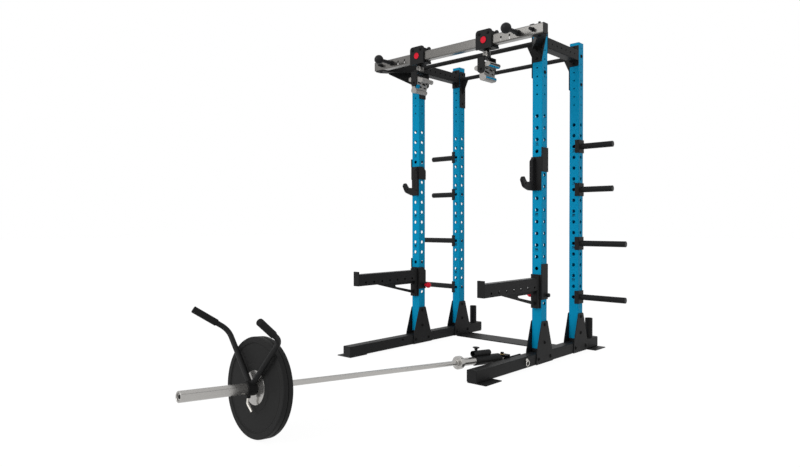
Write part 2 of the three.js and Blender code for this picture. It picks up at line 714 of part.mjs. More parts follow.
function spotterArm(sign) {
  const x = sign * side;
  const face = frontY - half - running - plate;
  const low = armTop - armHeight;
  const w = armWidth / 2;
  const post = block([x - w, x + w], [face - armPost, face + 1], [armPlateBottom, armCollarTop - 6]);
  const front = frontY - armFront;
  const arm = block([x - w, x + w], [front, face - armPost + 1], [low, armTop]);
  const bore = block([x - w + wall, x + w - wall], [front + plate, face - armPost - plate], [low + wall, armTop - wall]);
  const lip = block([x - w, x + w], [front - plate, front + 1], [low, armTop + armLip]);
  const holes = Array.from({ length: armHoleCount }, (_, index) => {
    const y = face - armPost - armHoleStart - index * holePitch;
    return rod(point(x - tube, y, low + armHoleRise), point(x + tube, y, low + armHoleRise), armHoleRadius, 6);
  });
  const postFace = face - armPost + 1;
  const foot = low - strutDrop;
  const web = sheetAcrossX([[frontY - strutFoot, low + 1], [postFace, foot], [postFace, low + 1]],
    [x - strutPlate / 2, x + strutPlate / 2]);
  const openingFront = frontY - strutFoot + strutSolid;
  const opening = sheetAcrossX([[openingFront, low - 22], [postFace + 1, low - 30], [postFace + 1, foot + 25],
    [openingFront + 19, low - 36]].reverse(), [x - tube, x + tube]);
  const cheek = (outward, radius) => rod(point(x + outward * (half + running + plate - 1), armLockY, armLockHeight),
    point(x + outward * (half + running + plate + lockBoss), armLockY, armLockHeight), radius, 10);
  const shell = wrap(sign, { pin: armPinHeight, top: armCollarTop, bottom: armPlateBottom, sideBottom: armCollarBottom });
  const boss = join(shell, cheek(-sign, knobRadius + 3));
  const bushed = cut(boss, rod(point(x - sign * half, armLockY, armLockHeight),
    point(x - sign * (half + running + plate + lockBoss + 2), armLockY, armLockHeight), knobRadius - 6 + running, 8));
  return join(bushed, post, cut(arm, bore, ...holes), lip, cut(web, opening), cheek(sign, knobRadius));
}

function armLockPin(sign) {
  const x = sign * side;
  const inward = -sign;
  const bossEnd = x + inward * (half + running + plate + lockBoss);
  const shaft = rod(point(x + inward * (half + running), armLockY, armLockHeight),
    point(bossEnd + inward * 6, armLockY, armLockHeight), knobRadius - 6, 8);
  const knob = rod(point(bossEnd + inward * seat, armLockY, armLockHeight),
    point(bossEnd + inward * 24, armLockY, armLockHeight), knobRadius, 12, knobRadius + 3);
  return join(shaft, knob, ball(point(bossEnd + inward * 26, armLockY, armLockHeight), knobRadius + 3, 8));
}

for (const [label, sign] of sides) {
  piece(`j_hook_${label}`, jHook(sign), blackSteel);
  piece(`spotter_arm_${label}`, spotterArm(sign), blackSteel);
  piece(`arm_lock_pin_${label}`, armLockPin(sign), redPlastic);
}

// ---- Plate storage pegs --------------------------------------------------------------------------------

function storagePeg(sign, level) {
  const x = sign * side;
  const z = holeHeight(pegHoles[level]);
  const face = x + sign * (half + seat);
  const [low, high] = [z - saddleHeight / 2, z + saddleHeight / 2];
  const tip = face + sign * pegLengths[level];
  const bar = rod(point(face + sign, rearY, z), point(tip, rearY, z), pegDiameter / 2, 14);
  const saddle = block([face, face + sign * plate], [rearY - half - seat - plate, rearY + half], [low, high]);
  const lip = block([x + sign * (half - saddleWrap), face + sign * plate],
    [rearY - half - seat - plate, rearY - half - seat], [low, high]);
  const stud = rod(point(face + sign, rearY, z), point(x + sign * (half - wall - 8), rearY, z),
    holeDiameter / 2 - pinClearance - 2, 8);
  return join(bar, saddle, lip, stud);
}

for (const [label, sign] of sides) {
  pegHoles.forEach((hole, level) => {
    piece(`storage_peg_${label}_${level + 1}`, storagePeg(sign, level), blackSteel);
  });
}

// ---- Landmine ------------------------------------------------------------------------------------------

const pivotX = side - pivotInboard;
const pivotY = frontY - pivotAhead;
const swivelLow = pivotHeight - swivelHeight / 2;
const swivelHigh = pivotHeight + swivelHeight / 2;

function landmineBracket() {
  const wallIn = side - half - seat;
  const socketY = frontY - ringPinAhead;
  const [wallBack, wallFront] = [socketY + wallPlateReach[0], socketY - wallPlateReach[1]];
  const wallPlate = block([wallIn - 8, wallIn], [wallFront, wallBack], [footPlate + 15, runnerTop + 4]);
  const socket = rod(point(wallIn - 22, socketY, ringPinHeight), point(wallIn - 1, socketY, ringPinHeight), 15, 10);
  const bore = rod(point(wallIn - 40, socketY, ringPinHeight), point(wallIn + 1, socketY, ringPinHeight),
    ringPinRadius + running, 8);
  const jaw = (z) => hull([[wallIn - 6, wallBack - 10], [wallIn - 6, wallFront + 10], [pivotX + 16, pivotY - 8],
    [pivotX - 18, pivotY - 8], [pivotX - 18, pivotY + 20], [wallIn - 44, wallBack - 10]].flatMap(([x, y]) => [
    point(x, y, z), point(x, y, z + 6)]));
  const lower = jaw(swivelLow - seat - 6);
  const upper = jaw(swivelHigh + seat);
  const bolt = rod(point(pivotX, pivotY, swivelLow - 12), point(pivotX, pivotY, swivelHigh + 24), pivotBolt - running, 10);
  const head = rod(point(pivotX, pivotY, swivelHigh + 17), point(pivotX, pivotY, swivelHigh + 32), 13, 6);
  return cut(join(wallPlate, socket, lower, upper, bolt, head), bore);
}

function landmineSwivel() {
  const w = swivelWidth / 2;
  const core = block([-w, w], [-pitchAxis - 12, 16], [-swivelHeight / 2, swivelHeight / 2]);
  const bore = rod(point(0, 0, -swivelHeight), point(0, 0, swivelHeight), pivotBolt, 10);
  const stubs = [-1, 1].map((sign) => rod(point(sign * (w - 1), -pitchAxis, 0),
    point(sign * (w + running + earThickness + 3), -pitchAxis, 0), 6, 10));
  return join(cut(core, bore), ...stubs).rotate([0, 0, -barbellYaw]).translate([pivotX, pivotY, pivotHeight]);
}

piece('landmine_bracket', landmineBracket(), blackSteel);
piece('landmine_swivel', landmineSwivel(), blackSteel);

function lockRing() {
  const x = side + half + seat;
  const y = frontY - ringPinAhead;
  const shank = rod(point(side - half - seat - 20, y, ringPinHeight), point(x + 12, y, ringPinHeight), ringPinRadius, 8);
  const head = rod(point(x, y, ringPinHeight), point(x + 10, y, ringPinHeight), 12, 10);
  const ring = toSolid(new THREE.TorusGeometry(ringRadius, 2.5, 5, 12).rotateY(Math.PI / 2)
    .translate(x + 12, y, ringPinHeight - ringRadius));
  return join(shank, head, ring);
}
piece('landmine_lock_ring', lockRing(), chrome);

// The barbell's group: its own -Y axis is the bar's axis, its origin the landmine's tilt pin, and its pitch
// is what sets the loaded end's plates on the floor. Distances are from the vertical pivot bolt.
const platesInner = barbellStart + innerSleeve + 2 * collarLength + shaftLength + plateGap;
const plateRadius = plateDiameter / 2;
const restingEdge = platesInner + plateEdge - pitchAxis;
const pitch = Math.atan2(plateRadius, restingEdge)
  - Math.asin(pivotHeight / Math.hypot(plateRadius, restingEdge));
const barbell = new THREE.Group();
const yawRadians = THREE.MathUtils.degToRad(barbellYaw);
barbell.position.set(pivotX - pitchAxis * Math.sin(yawRadians), pivotY - pitchAxis * Math.cos(yawRadians), pivotHeight);
barbell.rotation.order = 'ZXY';
barbell.rotation.z = -yawRadians;
barbell.rotation.x = -pitch;
cage.add(barbell);

const at = (distance, sideways = 0, up = 0) => point(sideways, pitchAxis - distance, up);

const sideTubeLift = landmineTubeRadius + sideTubeRadius - 6;

function ring(from, to, radius, bore, count = 20) {
  return cut(rod(at(from), at(to), radius, count), rod(at(from - 1), at(to + 1), bore, count));
}

function landmineTube() {
  const shell = cut(rod(at(landmineTubeStart), at(landmineTubeEnd), landmineTubeRadius, 18),
    rod(at(landmineTubeStart - 1), at(landmineTubeEnd + 1), landmineTubeBore, 18));
  const earIn = swivelWidth / 2 + running;
  const ears = [-1, 1].map((sign) => cut(
    block([sign * earIn, sign * (earIn + earThickness)], [pitchAxis - landmineTubeStart - 2, 12], [-11, 11]),
    rod(point(sign * (earIn - 4), 0, 0), point(sign * (earIn + earThickness + 4), 0, 0), 6 + running, 10)));
  const floor = rod(at(landmineTubeStart), at(landmineTubeStart + 4), landmineTubeRadius, 18);
  const from = landmineTubeEnd + sideTubeOverhang - sideTubeLength;
  const sideTube = cut(rod(at(from, 0, sideTubeLift), at(from + sideTubeLength, 0, sideTubeLift), sideTubeRadius, 12),
    rod(at(from + 4, 0, sideTubeLift), at(from + sideTubeLength + 1, 0, sideTubeLift), sideTubeRadius - wall, 12));
  return join(shell, floor, ...ears, sideTube);
}

function landmineKnob() {
  const distance = landmineTubeEnd - 12;
  const base = sideTubeLift + sideTubeRadius + seat;
  const stem = rod(at(distance, 0, base), at(distance, 0, base + 22), 8, 10);
  const flare = rod(at(distance, 0, base + 12), at(distance, 0, base + 24), 9, 12, 21);
  const dome = rod(at(distance, 0, base + 24), at(distance, 0, base + 31), 21, 12, 12);
  return join(stem, flare, dome);
}

function barbellBar() {
  const inner = barbellStart + innerSleeve;
  const outer = inner + 2 * collarLength + shaftLength;
  return join(
    rod(at(barbellStart), at(inner + 1), sleeveRadius, 18),
    rod(at(inner), at(inner + collarLength), collarRadius, 20),
    rod(at(inner + collarLength - 1), at(outer - collarLength - seat), barbellRadius, 12),
    rod(at(inner + collarLength - 1), at(inner + collarLength + 12), barbellRadius + 6, 12),
    rod(at(outer - collarLength - 1), at(outer + 60), barbellRadius - 4, 12));
}

function outerSleeve() {
  const collar = barbellStart + innerSleeve + collarLength + shaftLength;
  const whole = join(rod(at(collar), at(collar + collarLength), collarRadius - 4, 18),
    rod(at(collar + collarLength - 1), at(collar + collarLength + sleeveLength), sleeveRadius, 18));
  const bearing = rod(at(collar - 1), at(collar + collarLength + 64), barbellRadius - 4 + running / 2, 12);
  const endDimple = rod(at(collar + collarLength + sleeveLength - 6), at(collar + collarLength + sleeveLength + 1), 13, 12);
  return cut(whole, bearing, endDimple);
}

function bumperPlate(index) {
  const inner = platesInner + index * (plateWidth + seat);
  const rim = [[sleeveRadius + seat, 2], [plateRadius - 32, 4], [plateRadius - 26, 0], [plateRadius - 4, 0],
    [plateRadius, plateEdge]];
  const mirrored = rim.map(([radius, inset]) => [radius, plateWidth - inset]).reverse();
  const closed = [...rim, ...mirrored, rim[0]].map(([radius, along]) => new THREE.Vector2(radius, along));
  const geometry = new THREE.LatheGeometry(closed, 32).rotateX(Math.PI);
  return toSolid(geometry.translate(0, pitchAxis - inner, 0));
}

const handleStart = platesInner + 2 * (plateWidth + seat);

function landmineHandle() {
  const tubePart = ring(handleStart, handleStart + handleLength, handleRadius, handleBore, 16);
  const root = handleStart + 16;
  const arms = [-1, 1].map((sign) => {
    const foot = at(root, sign * 15, handleRadius - 9);
    const corner = at(root + handleArm[2], sign * handleArm[0], handleArm[1]);
    const tip = at(root + handleTip[2], sign * handleTip[0], handleTip[1]);
    const [intoBend, outOfBend] = [foot, tip].map((end) => corner.clone().add(
      end.clone().sub(corner).setLength(handleBend)));
    const gripStart = tip.clone().add(corner.clone().sub(tip).setLength(gripSleeve));
    const shoulder = gripStart.clone().lerp(tip, 0.02);
    const bend = new THREE.QuadraticBezierCurve3(intoBend, corner, outOfBend).getPoints(4);
    const path = [foot, ...bend, gripStart, shoulder, tip];
    return bentBar(path, path.map((_, index) => (index < path.length - 2 ? armRadius : gripRadius)));
  });
  const drop = -handleRadius - leverDrop;
  const lever = bentBar([at(root + 8, -2, 3 - handleRadius), at(root + 8, -2, drop), at(root + 2, -30, drop - 32)],
    [leverRadius, leverRadius, leverRadius], 8);
  return join(tubePart, ...arms, lever);
}

piece('landmine_tube', landmineTube(), blackSteel, barbell);
piece('landmine_knob', landmineKnob(), plastic, barbell);
piece('barbell_bar', barbellBar(), chrome, barbell);
piece('barbell_outer_sleeve', outerSleeve(), chrome, barbell);
piece('bumper_plate_inner', bumperPlate(0), rubber, barbell);
piece('bumper_plate_outer', bumperPlate(1), rubber, barbell);
piece('landmine_handle', landmineHandle(), blackSteel, barbell);

export default cage;
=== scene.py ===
import json
from math import atan2, cos, pi, radians, sin, tan

import bmesh
import bpy
from mathutils import Matrix, Vector


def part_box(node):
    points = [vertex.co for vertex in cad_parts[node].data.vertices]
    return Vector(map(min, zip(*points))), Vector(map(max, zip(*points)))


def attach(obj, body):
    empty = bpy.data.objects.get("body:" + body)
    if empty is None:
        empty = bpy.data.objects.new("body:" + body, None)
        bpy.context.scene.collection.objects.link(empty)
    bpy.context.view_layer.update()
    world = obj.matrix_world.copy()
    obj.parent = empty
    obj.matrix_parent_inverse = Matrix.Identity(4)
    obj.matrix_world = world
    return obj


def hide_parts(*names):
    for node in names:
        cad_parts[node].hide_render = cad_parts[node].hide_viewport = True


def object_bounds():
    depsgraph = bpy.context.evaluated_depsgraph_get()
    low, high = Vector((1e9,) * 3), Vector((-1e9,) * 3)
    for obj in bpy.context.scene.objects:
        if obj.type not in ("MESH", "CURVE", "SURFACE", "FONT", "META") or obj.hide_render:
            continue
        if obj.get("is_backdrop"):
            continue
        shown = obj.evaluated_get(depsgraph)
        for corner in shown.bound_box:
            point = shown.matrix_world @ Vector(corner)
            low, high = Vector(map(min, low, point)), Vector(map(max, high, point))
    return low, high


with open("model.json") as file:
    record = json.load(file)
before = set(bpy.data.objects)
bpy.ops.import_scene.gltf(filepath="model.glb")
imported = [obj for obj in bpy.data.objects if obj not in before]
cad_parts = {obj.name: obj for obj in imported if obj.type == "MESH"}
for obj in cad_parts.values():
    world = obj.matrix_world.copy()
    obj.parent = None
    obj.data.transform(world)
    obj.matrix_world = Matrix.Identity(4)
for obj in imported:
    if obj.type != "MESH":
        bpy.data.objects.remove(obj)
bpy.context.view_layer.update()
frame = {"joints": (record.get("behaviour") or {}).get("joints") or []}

# Sizes are in millimetres, as in the drawing of the cage, and meshes are made in metres.
MM = 0.001

SIDE = 551  # centre line of the uprights and runners, across
FRONT, REAR = -540, -12  # centre lines of the front and rear uprights
HALF = 37.5  # half of the 75 mm tube
WALL = 3
PLATE = 6  # thickness of the flat steel parts
SEAT = 0.3  # gap between parts that are bolted together
RUNNING = 0.8  # gap between parts that move
TUBE_CORNER = 6
NARROW = 27.5  # half of the spotter arms' 55 mm tube and of the yokes
FOOT, TOP = 102.3, 2298  # ends of an upright
LOWEST_HOLE, HOLE_PITCH, HOLE_COUNT, HOLE_RADIUS = 412, 80, 17, 13
SMALL_HOLE_START, SMALL_HOLE_PITCH, SMALL_HOLE_COUNT, SMALL_HOLE_RADIUS = 1840, 60, 8, 6
RUNNER_FOOT, RUNNER_TOP = 5, 80
RING_PIN = (FRONT - 230, 58)  # y and z of the pin through the right runner
RING_PIN_BORE = 7.8
HANGING_PIN = 9.5  # radius of the pins that hang in the uprights' holes
# 1 mm within the outer faces of the hooks' and arms' side plates, and of their front plates
HANGER_SIDE = HALF + RUNNING + PLATE - 1
HANGER_FACE = FRONT - HANGER_SIDE
RUNNER_FRONT, RUNNER_REAR = FRONT - 783, REAR + 290
TOP_LINE = 2200  # of the side beams and pull-up bars
PLATE_SCREW = TOP_LINE - 210  # lower screw of the pull-up bars' end plates
BEAM_LINE, BEAM_LOW, BEAM_HIGH = 2195, 2161.5, 2228.5
BEAM_FACE, BEAM_BACK = -840, -783
BEAM_MIDDLE = -811.5
BEAM_END = 750
CAP = 4  # thickness of the beam's plastic caps
BEAM_HOLE, BEAM_HOLE_PITCH = 432, 66  # the two small numbered holes on each side
BRACKET_FOOT = 2058
CARRIAGE_AT = 300
CARRIAGE_UNDER, CARRIAGE_TOP = 2147, 2270
CARRIAGE_FACE = BEAM_FACE - 12.8
BUTTON_LINE = 2200
SWING_LINE = 2123
FORK_FOOT = 2087
GRIP_AXIS = 1998.7
YOKE_TOP = FORK_FOOT - SEAT
PIVOT = Vector((470, -875, 79))
PIN_AHEAD = 26  # the tilt pin, ahead of the landmine's vertical bolt
UP, AHEAD = (0, 0, 1), (0, -1, 0)  # ahead is towards the lifter
SIDES = (("left", -1), ("right", 1))
ENDS = (("front", FRONT), ("rear", REAR))
CORNERS = [(f"{end}_{label}", sign, y) for label, sign in SIDES for end, y in ENDS]


def hole_height(index):
    return LOWEST_HOLE + index * HOLE_PITCH


def span(middle, half=HALF):
    return middle - half, middle + half


# ---- Node graphs ----


def arithmetic(operation, swapped=False):
    """The method of Out for one operator."""
    def method(self, other):
        return self.maths(operation, *((other, self) if swapped else (self, other)))
    return method


class Out:
    """A node's output; arithmetic on it adds Math nodes."""

    def __init__(self, graph, socket):
        self.graph, self.socket = graph, socket

    def maths(self, operation, *values):
        return self.graph.node("ShaderNodeMath", values, operation=operation)

    __add__, __sub__, __mul__, __truediv__, __gt__, __lt__ = map(arithmetic,
        ("ADD", "SUBTRACT", "MULTIPLY", "DIVIDE", "GREATER_THAN", "LESS_THAN"))
    __rsub__ = arithmetic("SUBTRACT", swapped=True)
    __radd__, __rmul__ = __add__, __mul__


class Graph:
    """A node tree that is built by one method."""

    PREFIX = "ShaderNode"

    def __init__(self, tree):
        self.tree = tree

    def node(self, kind, inputs=(), out=0, **settings):
        made = self.tree.nodes.new(kind if "Node" in kind else self.PREFIX + kind)
        for name, value in settings.items():
            setattr(made, name, value)
        for key, value in (inputs.items() if isinstance(inputs, dict) else enumerate(inputs)):
            for one in value if isinstance(value, list) else [value]:
                if isinstance(one, Out):
                    self.tree.links.new(one.socket, made.inputs[key])
                else:
                    made.inputs[key].default_value = one
        return Out(self, made.outputs[out])

    def mix(self, factor, first, second):
        return self.node("Mix", {0: factor, 6: first, 7: second}, out=2, data_type="RGBA")


def seen_plainly(graph):
    """1 where a surface is seen, straight, in a gloss or through glass; 0 where it gives light."""
    path = graph.node("LightPath")
    straight, gloss, through = (Out(graph, path.socket.node.outputs[f"Is {kind} Ray"])
        for kind in ("Camera", "Glossy", "Transmission"))
    return straight.maths("MAXIMUM", straight, straight.maths("MAXIMUM", gloss, through))


class Shape(Graph):
    """A Geometry Nodes tree with named inputs; it ends in Realize Instances and Set Material."""

    PREFIX = "GeometryNode"

    def __init__(self, name, **inputs):
        super().__init__(bpy.data.node_groups.new(name, "GeometryNodeTree"))
        sockets = [(*item, "INPUT") for item in inputs.items()]
        for label, kind, way in (("Geometry", "Geometry", "INPUT"), *sockets,
                ("Material", "Material", "INPUT"), ("Geometry", "Geometry", "OUTPUT")):
            self.tree.interface.new_socket(label, in_out=way, socket_type="NodeSocket" + kind)
        self.inlet = self.tree.nodes.new("NodeGroupInput")

    def __getitem__(self, label):
        return Out(self, self.inlet.outputs[label])

    def close(self, geometry):
        real = self.node("RealizeInstances", [geometry])
        dressed = self.node("SetMaterial", {"Geometry": real, "Material": self["Material"]})
        self.tree.links.new(dressed.socket, self.tree.nodes.new("NodeGroupOutput").inputs[0])
        return self.tree

    @staticmethod
    def modifier(tree, **values):
        """The tree as a modifier for worked(), with its inputs by their sockets' identifiers."""
        sockets = {item.name: item.identifier for item in tree.interface.items_tree
            if item.in_out == "INPUT"}
        return "NODES", {"node_group": tree}, {sockets[label]: value
            for label, value in values.items()}


def placed(name, data):
    """A new object in the scene."""
    made = bpy.data.objects.new(name, data)
    bpy.context.scene.collection.objects.link(made)
    return made


def evaluated(holder):
    """A mesh of what an object shows; the object is removed."""
    bpy.context.view_layer.update()
    seen = holder.evaluated_get(bpy.context.evaluated_depsgraph_get())
    mesh = bpy.data.meshes.new_from_object(seen)
    bpy.data.objects.remove(holder)
    return mesh


def worked(mesh, *modifiers):
    """A plain mesh of mesh under modifiers, each a type, its settings and its node inputs."""
    holder = placed("work", mesh)
    for kind, settings, inputs in modifiers:
        modifier = holder.modifiers.new(kind.lower(), kind)
        for name, value in settings.items():
            setattr(modifier, name, value)
        for identifier, value in inputs.items():
            modifier[identifier] = value
    result = evaluated(holder)
    bpy.data.meshes.remove(mesh)
    return result


def punch_tree():
    """Cuts a row of round holes through a solid."""
    shape = Shape("punch", Count="Int", Start="Vector", Step="Vector", Turn="Vector",
        Radius="Float", Length="Float")
    row = shape.node("MeshLine", {"Count": shape["Count"], "Start Location": shape["Start"],
        "Offset": shape["Step"]})
    drill = shape.node("MeshCylinder", {"Vertices": 24, "Radius": shape["Radius"],
        "Depth": shape["Length"]})
    turn = shape.node("FunctionNodeEulerToRotation", [shape["Turn"]])
    drills = shape.node("InstanceOnPoints", {"Points": row, "Instance": drill, "Rotation": turn})
    real = shape.node("RealizeInstances", [drills])
    left = shape.node("MeshBoolean", {0: shape["Geometry"], 1: real}, operation="DIFFERENCE",
        solver="MANIFOLD")
    return shape.close(left)


def fastener_tree():
    """Sets a copy of one fastener on each point, turned to the point's facing."""
    shape = Shape("fasteners", Fastener="Object", Scale="Float")
    one = shape.node("ObjectInfo", {"Object": shape["Fastener"]}, out="Geometry")
    facing = shape.node("InputNamedAttribute", {"Name": "facing"}, data_type="FLOAT_VECTOR")
    turn = shape.node("FunctionNodeAlignRotationToVector", {"Vector": facing}, axis="Z")
    set_out = shape.node("InstanceOnPoints", {"Points": shape["Geometry"], "Instance": one,
        "Rotation": turn, "Scale": shape["Scale"]})
    return shape.close(set_out)


def bar_tree():
    """Runs a round bar along a chain of points and rounds its bends."""
    shape = Shape("bent_bar", Radius="Float", Bend="Float", Sides="Int")
    line = shape.node("MeshToCurve", [shape["Geometry"]])
    bent = shape.node("FilletCurve",
        {"Curve": line, "Count": 8, "Radius": shape["Bend"]}, mode="POLY")
    ring = shape.node("CurvePrimitiveCircle", {"Resolution": shape["Sides"],
        "Radius": shape["Radius"]})
    return shape.close(shape.node("CurveToMesh", {"Curve": bent, "Profile Curve": ring,
        "Fill Caps": True}))


PUNCH, FASTENERS, BENT_BAR = punch_tree(), fastener_tree(), bar_tree()

# ---- Finishes ----

STILL = (0.0, 0.0, 0.0)


def colour(red, green, blue):
    return (red, green, blue, 1.0)


def finish(name, base, roughness, metallic=0.0, specular=0.5, mottle=0.06, grain=900, depth=0.00004,
        stretch=(1, 1, 1), turn=STILL, place=STILL, spread=0.06, extra=None):
    """A material whose colour, roughness and bump vary over Object coordinates."""
    material = bpy.data.materials.new(name)
    material.use_nodes = True
    material.diffuse_color = colour(*base)
    graph = Graph(material.node_tree)
    shader = material.node_tree.nodes["Principled BSDF"]
    shader.inputs["Metallic"].default_value = metallic
    shader.inputs["Specular IOR Level"].default_value = specular
    where = graph.node("TexCoord", out="Object")
    where = graph.node("Mapping", {"Vector": where, "Location": place, "Rotation": turn},
        vector_type="TEXTURE")
    along = graph.node("VectorMath", [where, stretch], operation="MULTIPLY")
    cloud = graph.node("TexNoise", {"Vector": along, "Scale": 7.0, "Detail": 4.0}, out="Fac")
    fine = graph.node("TexNoise", {"Vector": along, "Scale": grain, "Detail": 2.0}, out="Fac")
    dark = colour(*(channel * (1 - mottle) for channel in base))
    light = colour(*(min(channel * (1 + mottle), 1) for channel in base))
    tone = graph.mix(cloud * 0.6 + fine * 0.4, dark, light)
    rough = roughness - spread / 2 + (cloud + fine) * (spread / 2)
    height = fine
    if extra:
        tone, rough, height = extra(graph, where, tone, rough, height)
    bump = graph.node("Bump", {"Strength": 0.35, "Distance": depth, "Height": height})
    for key, value in (("Base Color", tone), ("Roughness", rough), ("Normal", bump)):
        material.node_tree.links.new(value.socket, shader.inputs[key])
    return material


# The bar's own frame, from the record: its Y axis runs along the bar, away from the plates.
spin = next(joint for joint in frame["joints"] if joint["name"] == "bar_spin")
tilt = next(joint for joint in frame["joints"] if joint["name"] == "landmine_tilt")
bar_y = -Vector(spin["axis"]).normalized()
bar_x = -Vector(tilt["axis"]).normalized()
if bar_x.x < 0:
    bar_x = -bar_x
bar_z = bar_x.cross(bar_y).normalized()
bar_x = bar_y.cross(bar_z).normalized()
BAR = Matrix((bar_x, bar_y, bar_z)).transposed().to_4x4()
BAR.translation = Vector(tilt["pos_m"])
BAR_TURN = tuple(BAR.to_euler())
BAR_PLACE = tuple(BAR.translation)


def bar_point(distance, sideways=0.0, up=0.0):
    """A point in millimetres, by its distance from the landmine's vertical bolt along the bar."""
    return (BAR @ (Vector((sideways, PIN_AHEAD - distance, up)) * MM)) / MM


def knurl(graph, where, tone, rough, height):
    """Diamond knurling on the two gripping zones of the shaft, and turned rings elsewhere."""
    axes = graph.node("SeparateXYZ", [where])
    across, along, up = (Out(graph, axes.socket.node.outputs[name]) for name in "XYZ")
    distance = PIN_AHEAD * MM - along
    angle = up.maths("ARCTAN2", up, across)
    ridges = 26
    pitch = 2 * pi / 0.0024
    one = up.maths("SINE", distance * pitch + angle * ridges)
    two = up.maths("SINE", distance * pitch - angle * ridges)
    zone = ((distance > 0.52) * (distance < 0.94)) + ((distance > 1.28) * (distance < 1.76))
    return tone, rough + zone * 0.1, height * (1 - zone) + (one * two) * zone


BLUE = finish("blue_powder_coat", (0.0, 0.262, 0.48), 0.42, specular=0.05, mottle=0.05, grain=700,
    depth=0.00008)
BLACK = finish("black_powder_coat", (0.0125, 0.0125, 0.0128), 0.5, specular=0.1, mottle=0.18,
    grain=520, depth=0.00012, spread=0.1)
STEEL = finish("brushed_grey_steel", (0.15, 0.145, 0.138), 0.22, metallic=0.85, mottle=0.1,
    grain=260, stretch=(0.03, 1, 1), depth=0.00003, spread=0.12)
ALLOY = finish("satin_alloy", (0.26, 0.25, 0.238), 0.42, metallic=0.35, mottle=0.08, grain=400,
    stretch=(1, 0.05, 1), depth=0.00003, spread=0.1)
CHROME = finish("hard_chrome", (0.41, 0.4, 0.385), 0.2, metallic=0.8, grain=600,
    stretch=(0.05, 1, 0.05), turn=BAR_TURN, place=BAR_PLACE, depth=0.00001)
SHAFT = finish("knurled_shaft", (0.43, 0.42, 0.405), 0.24, metallic=1.0, grain=600,
    stretch=(0.05, 1, 0.05), turn=BAR_TURN, place=BAR_PLACE, depth=0.0002, extra=knurl)
ZINC = finish("zinc_plate", (0.62, 0.6, 0.56), 0.3, metallic=1.0, mottle=0.08, spread=0.1)
BRASS = finish("brass", (0.62, 0.42, 0.17), 0.3, metallic=1.0)
RUBBER = finish("bumper_rubber", (0.016, 0.016, 0.016), 0.62, specular=0.1, mottle=0.22, grain=340,
    depth=0.00018, spread=0.12)
GRIP_RUBBER_AND_PAINTED_SHADE = finish("grip_rubber_and_painted_shade", (0.012, 0.012, 0.012), 0.7, specular=0.1, mottle=0.2,
    grain=420, depth=0.0003)
PLASTIC = finish("black_plastic", (0.012, 0.012, 0.0125), 0.42, specular=0.14, mottle=0.14,
    grain=600, depth=0.00006)
RED = finish("red_plastic", (0.66, 0.01, 0.03), 0.34, specular=0.1, mottle=0.05, grain=500,
    depth=0.00005)
SCREW = finish("black_oxide_screw", (0.004, 0.004, 0.0042), 0.5, specular=0.1, mottle=0.15)
INK = finish("number_ink", (0.0, 0.02, 0.04), 0.5, specular=0.1, mottle=0.1)
MARK = finish("pale_number_mark", (0.9, 0.89, 0.88), 0.5, specular=0.2, mottle=0.08)

# ---- Solids ----

PLACES = {"X": lambda u, v, w: (w, u, v), "Y": lambda u, v, w: (u, w, v),
    "Z": lambda u, v, w: (u, v, w)}


def bevel(width, segments=2, angle=35):
    return "BEVEL", {"width": width * MM, "segments": segments, "limit_method": "ANGLE",
        "angle_limit": radians(angle), "miter_outer": "MITER_ARC"}, {}


def rectangle(us, vs):
    (left, right), (low, high) = sorted(us), sorted(vs)
    return [(left, low), (right, low), (right, high), (left, high)]


def rounded(outline, radius, steps=4):
    """The outline with an arc at each corner; radius is one number, or one for each corner."""
    radii = radius if isinstance(radius, (list, tuple)) else [radius] * len(outline)
    result = []
    for index, (corner, size) in enumerate(zip(outline, radii)):
        corner = Vector(corner)
        back = Vector(outline[index - 1]) - corner
        ahead = Vector(outline[(index + 1) % len(outline)]) - corner
        half = back.angle(ahead) / 2 if size else pi / 2
        reach = min(size / tan(half), 0.49 * back.length, 0.49 * ahead.length)
        if reach < 0.05:
            result.append(tuple(corner))
            continue
        start, end = corner + back.normalized() * reach, corner + ahead.normalized() * reach
        inward = (back.normalized() + ahead.normalized()).normalized()
        middle = corner + inward * (reach / cos(half))
        first, last = (atan2(*(side - middle).yx) for side in (start, end))
        sweep = (last - first + pi) % (2 * pi) - pi
        for step in range(steps + 1):
            angle = first + sweep * step / steps
            reached = (start - middle).length
            result.append((middle.x + reached * cos(angle), middle.y + reached * sin(angle)))
    return result


def disc(middle, radius, steps=32):
    return [(middle[0] + radius * cos(2 * pi * step / steps),
        middle[1] + radius * sin(2 * pi * step / steps)) for step in range(steps)]


def around(*circles, steps=32):
    """The convex outline round circles, each given as u, v and radius."""
    points = sorted({(round(u, 4), round(v, 4)) for cu, cv, radius in circles for u,
        v in disc((cu, cv), radius, steps)})

    def chain(ordered):
        kept = []
        for point in ordered:
            while len(kept) > 1 and ((kept[-1][0] - kept[-2][0])
                    * (point[1] - kept[-2][1]) <= (kept[-1][1] - kept[-2][1])
                    * (point[0] - kept[-2][0])):
                kept.pop()
            kept.append(point)
        return kept[:-1]
    return chain(points) + chain(points[::-1])


def from_bmesh(work):
    bmesh.ops.recalc_face_normals(work, faces=work.faces)
    mesh = bpy.data.meshes.new("solid")
    work.to_mesh(mesh)
    work.free()
    return mesh


def prism(outline, axis, low, high, soft=1.0, cuts=()):
    """An outline extruded along an axis; cuts are taken away before its edges are softened."""
    low, high = sorted((low, high))
    work = bmesh.new()
    ends = [[work.verts.new(Vector(PLACES[axis](u, v, w)) * MM) for u, v in outline]
        for w in (low, high)]
    work.faces.new(ends[0])
    work.faces.new(ends[1])
    for index in range(len(outline)):
        after = (index + 1) % len(outline)
        work.faces.new((ends[0][index], ends[0][after], ends[1][after], ends[1][index]))
    mesh = from_bmesh(work)
    for tool in cuts:
        mesh = boolean(mesh, tool, "DIFFERENCE")
    return worked(mesh, bevel(soft)) if soft else mesh


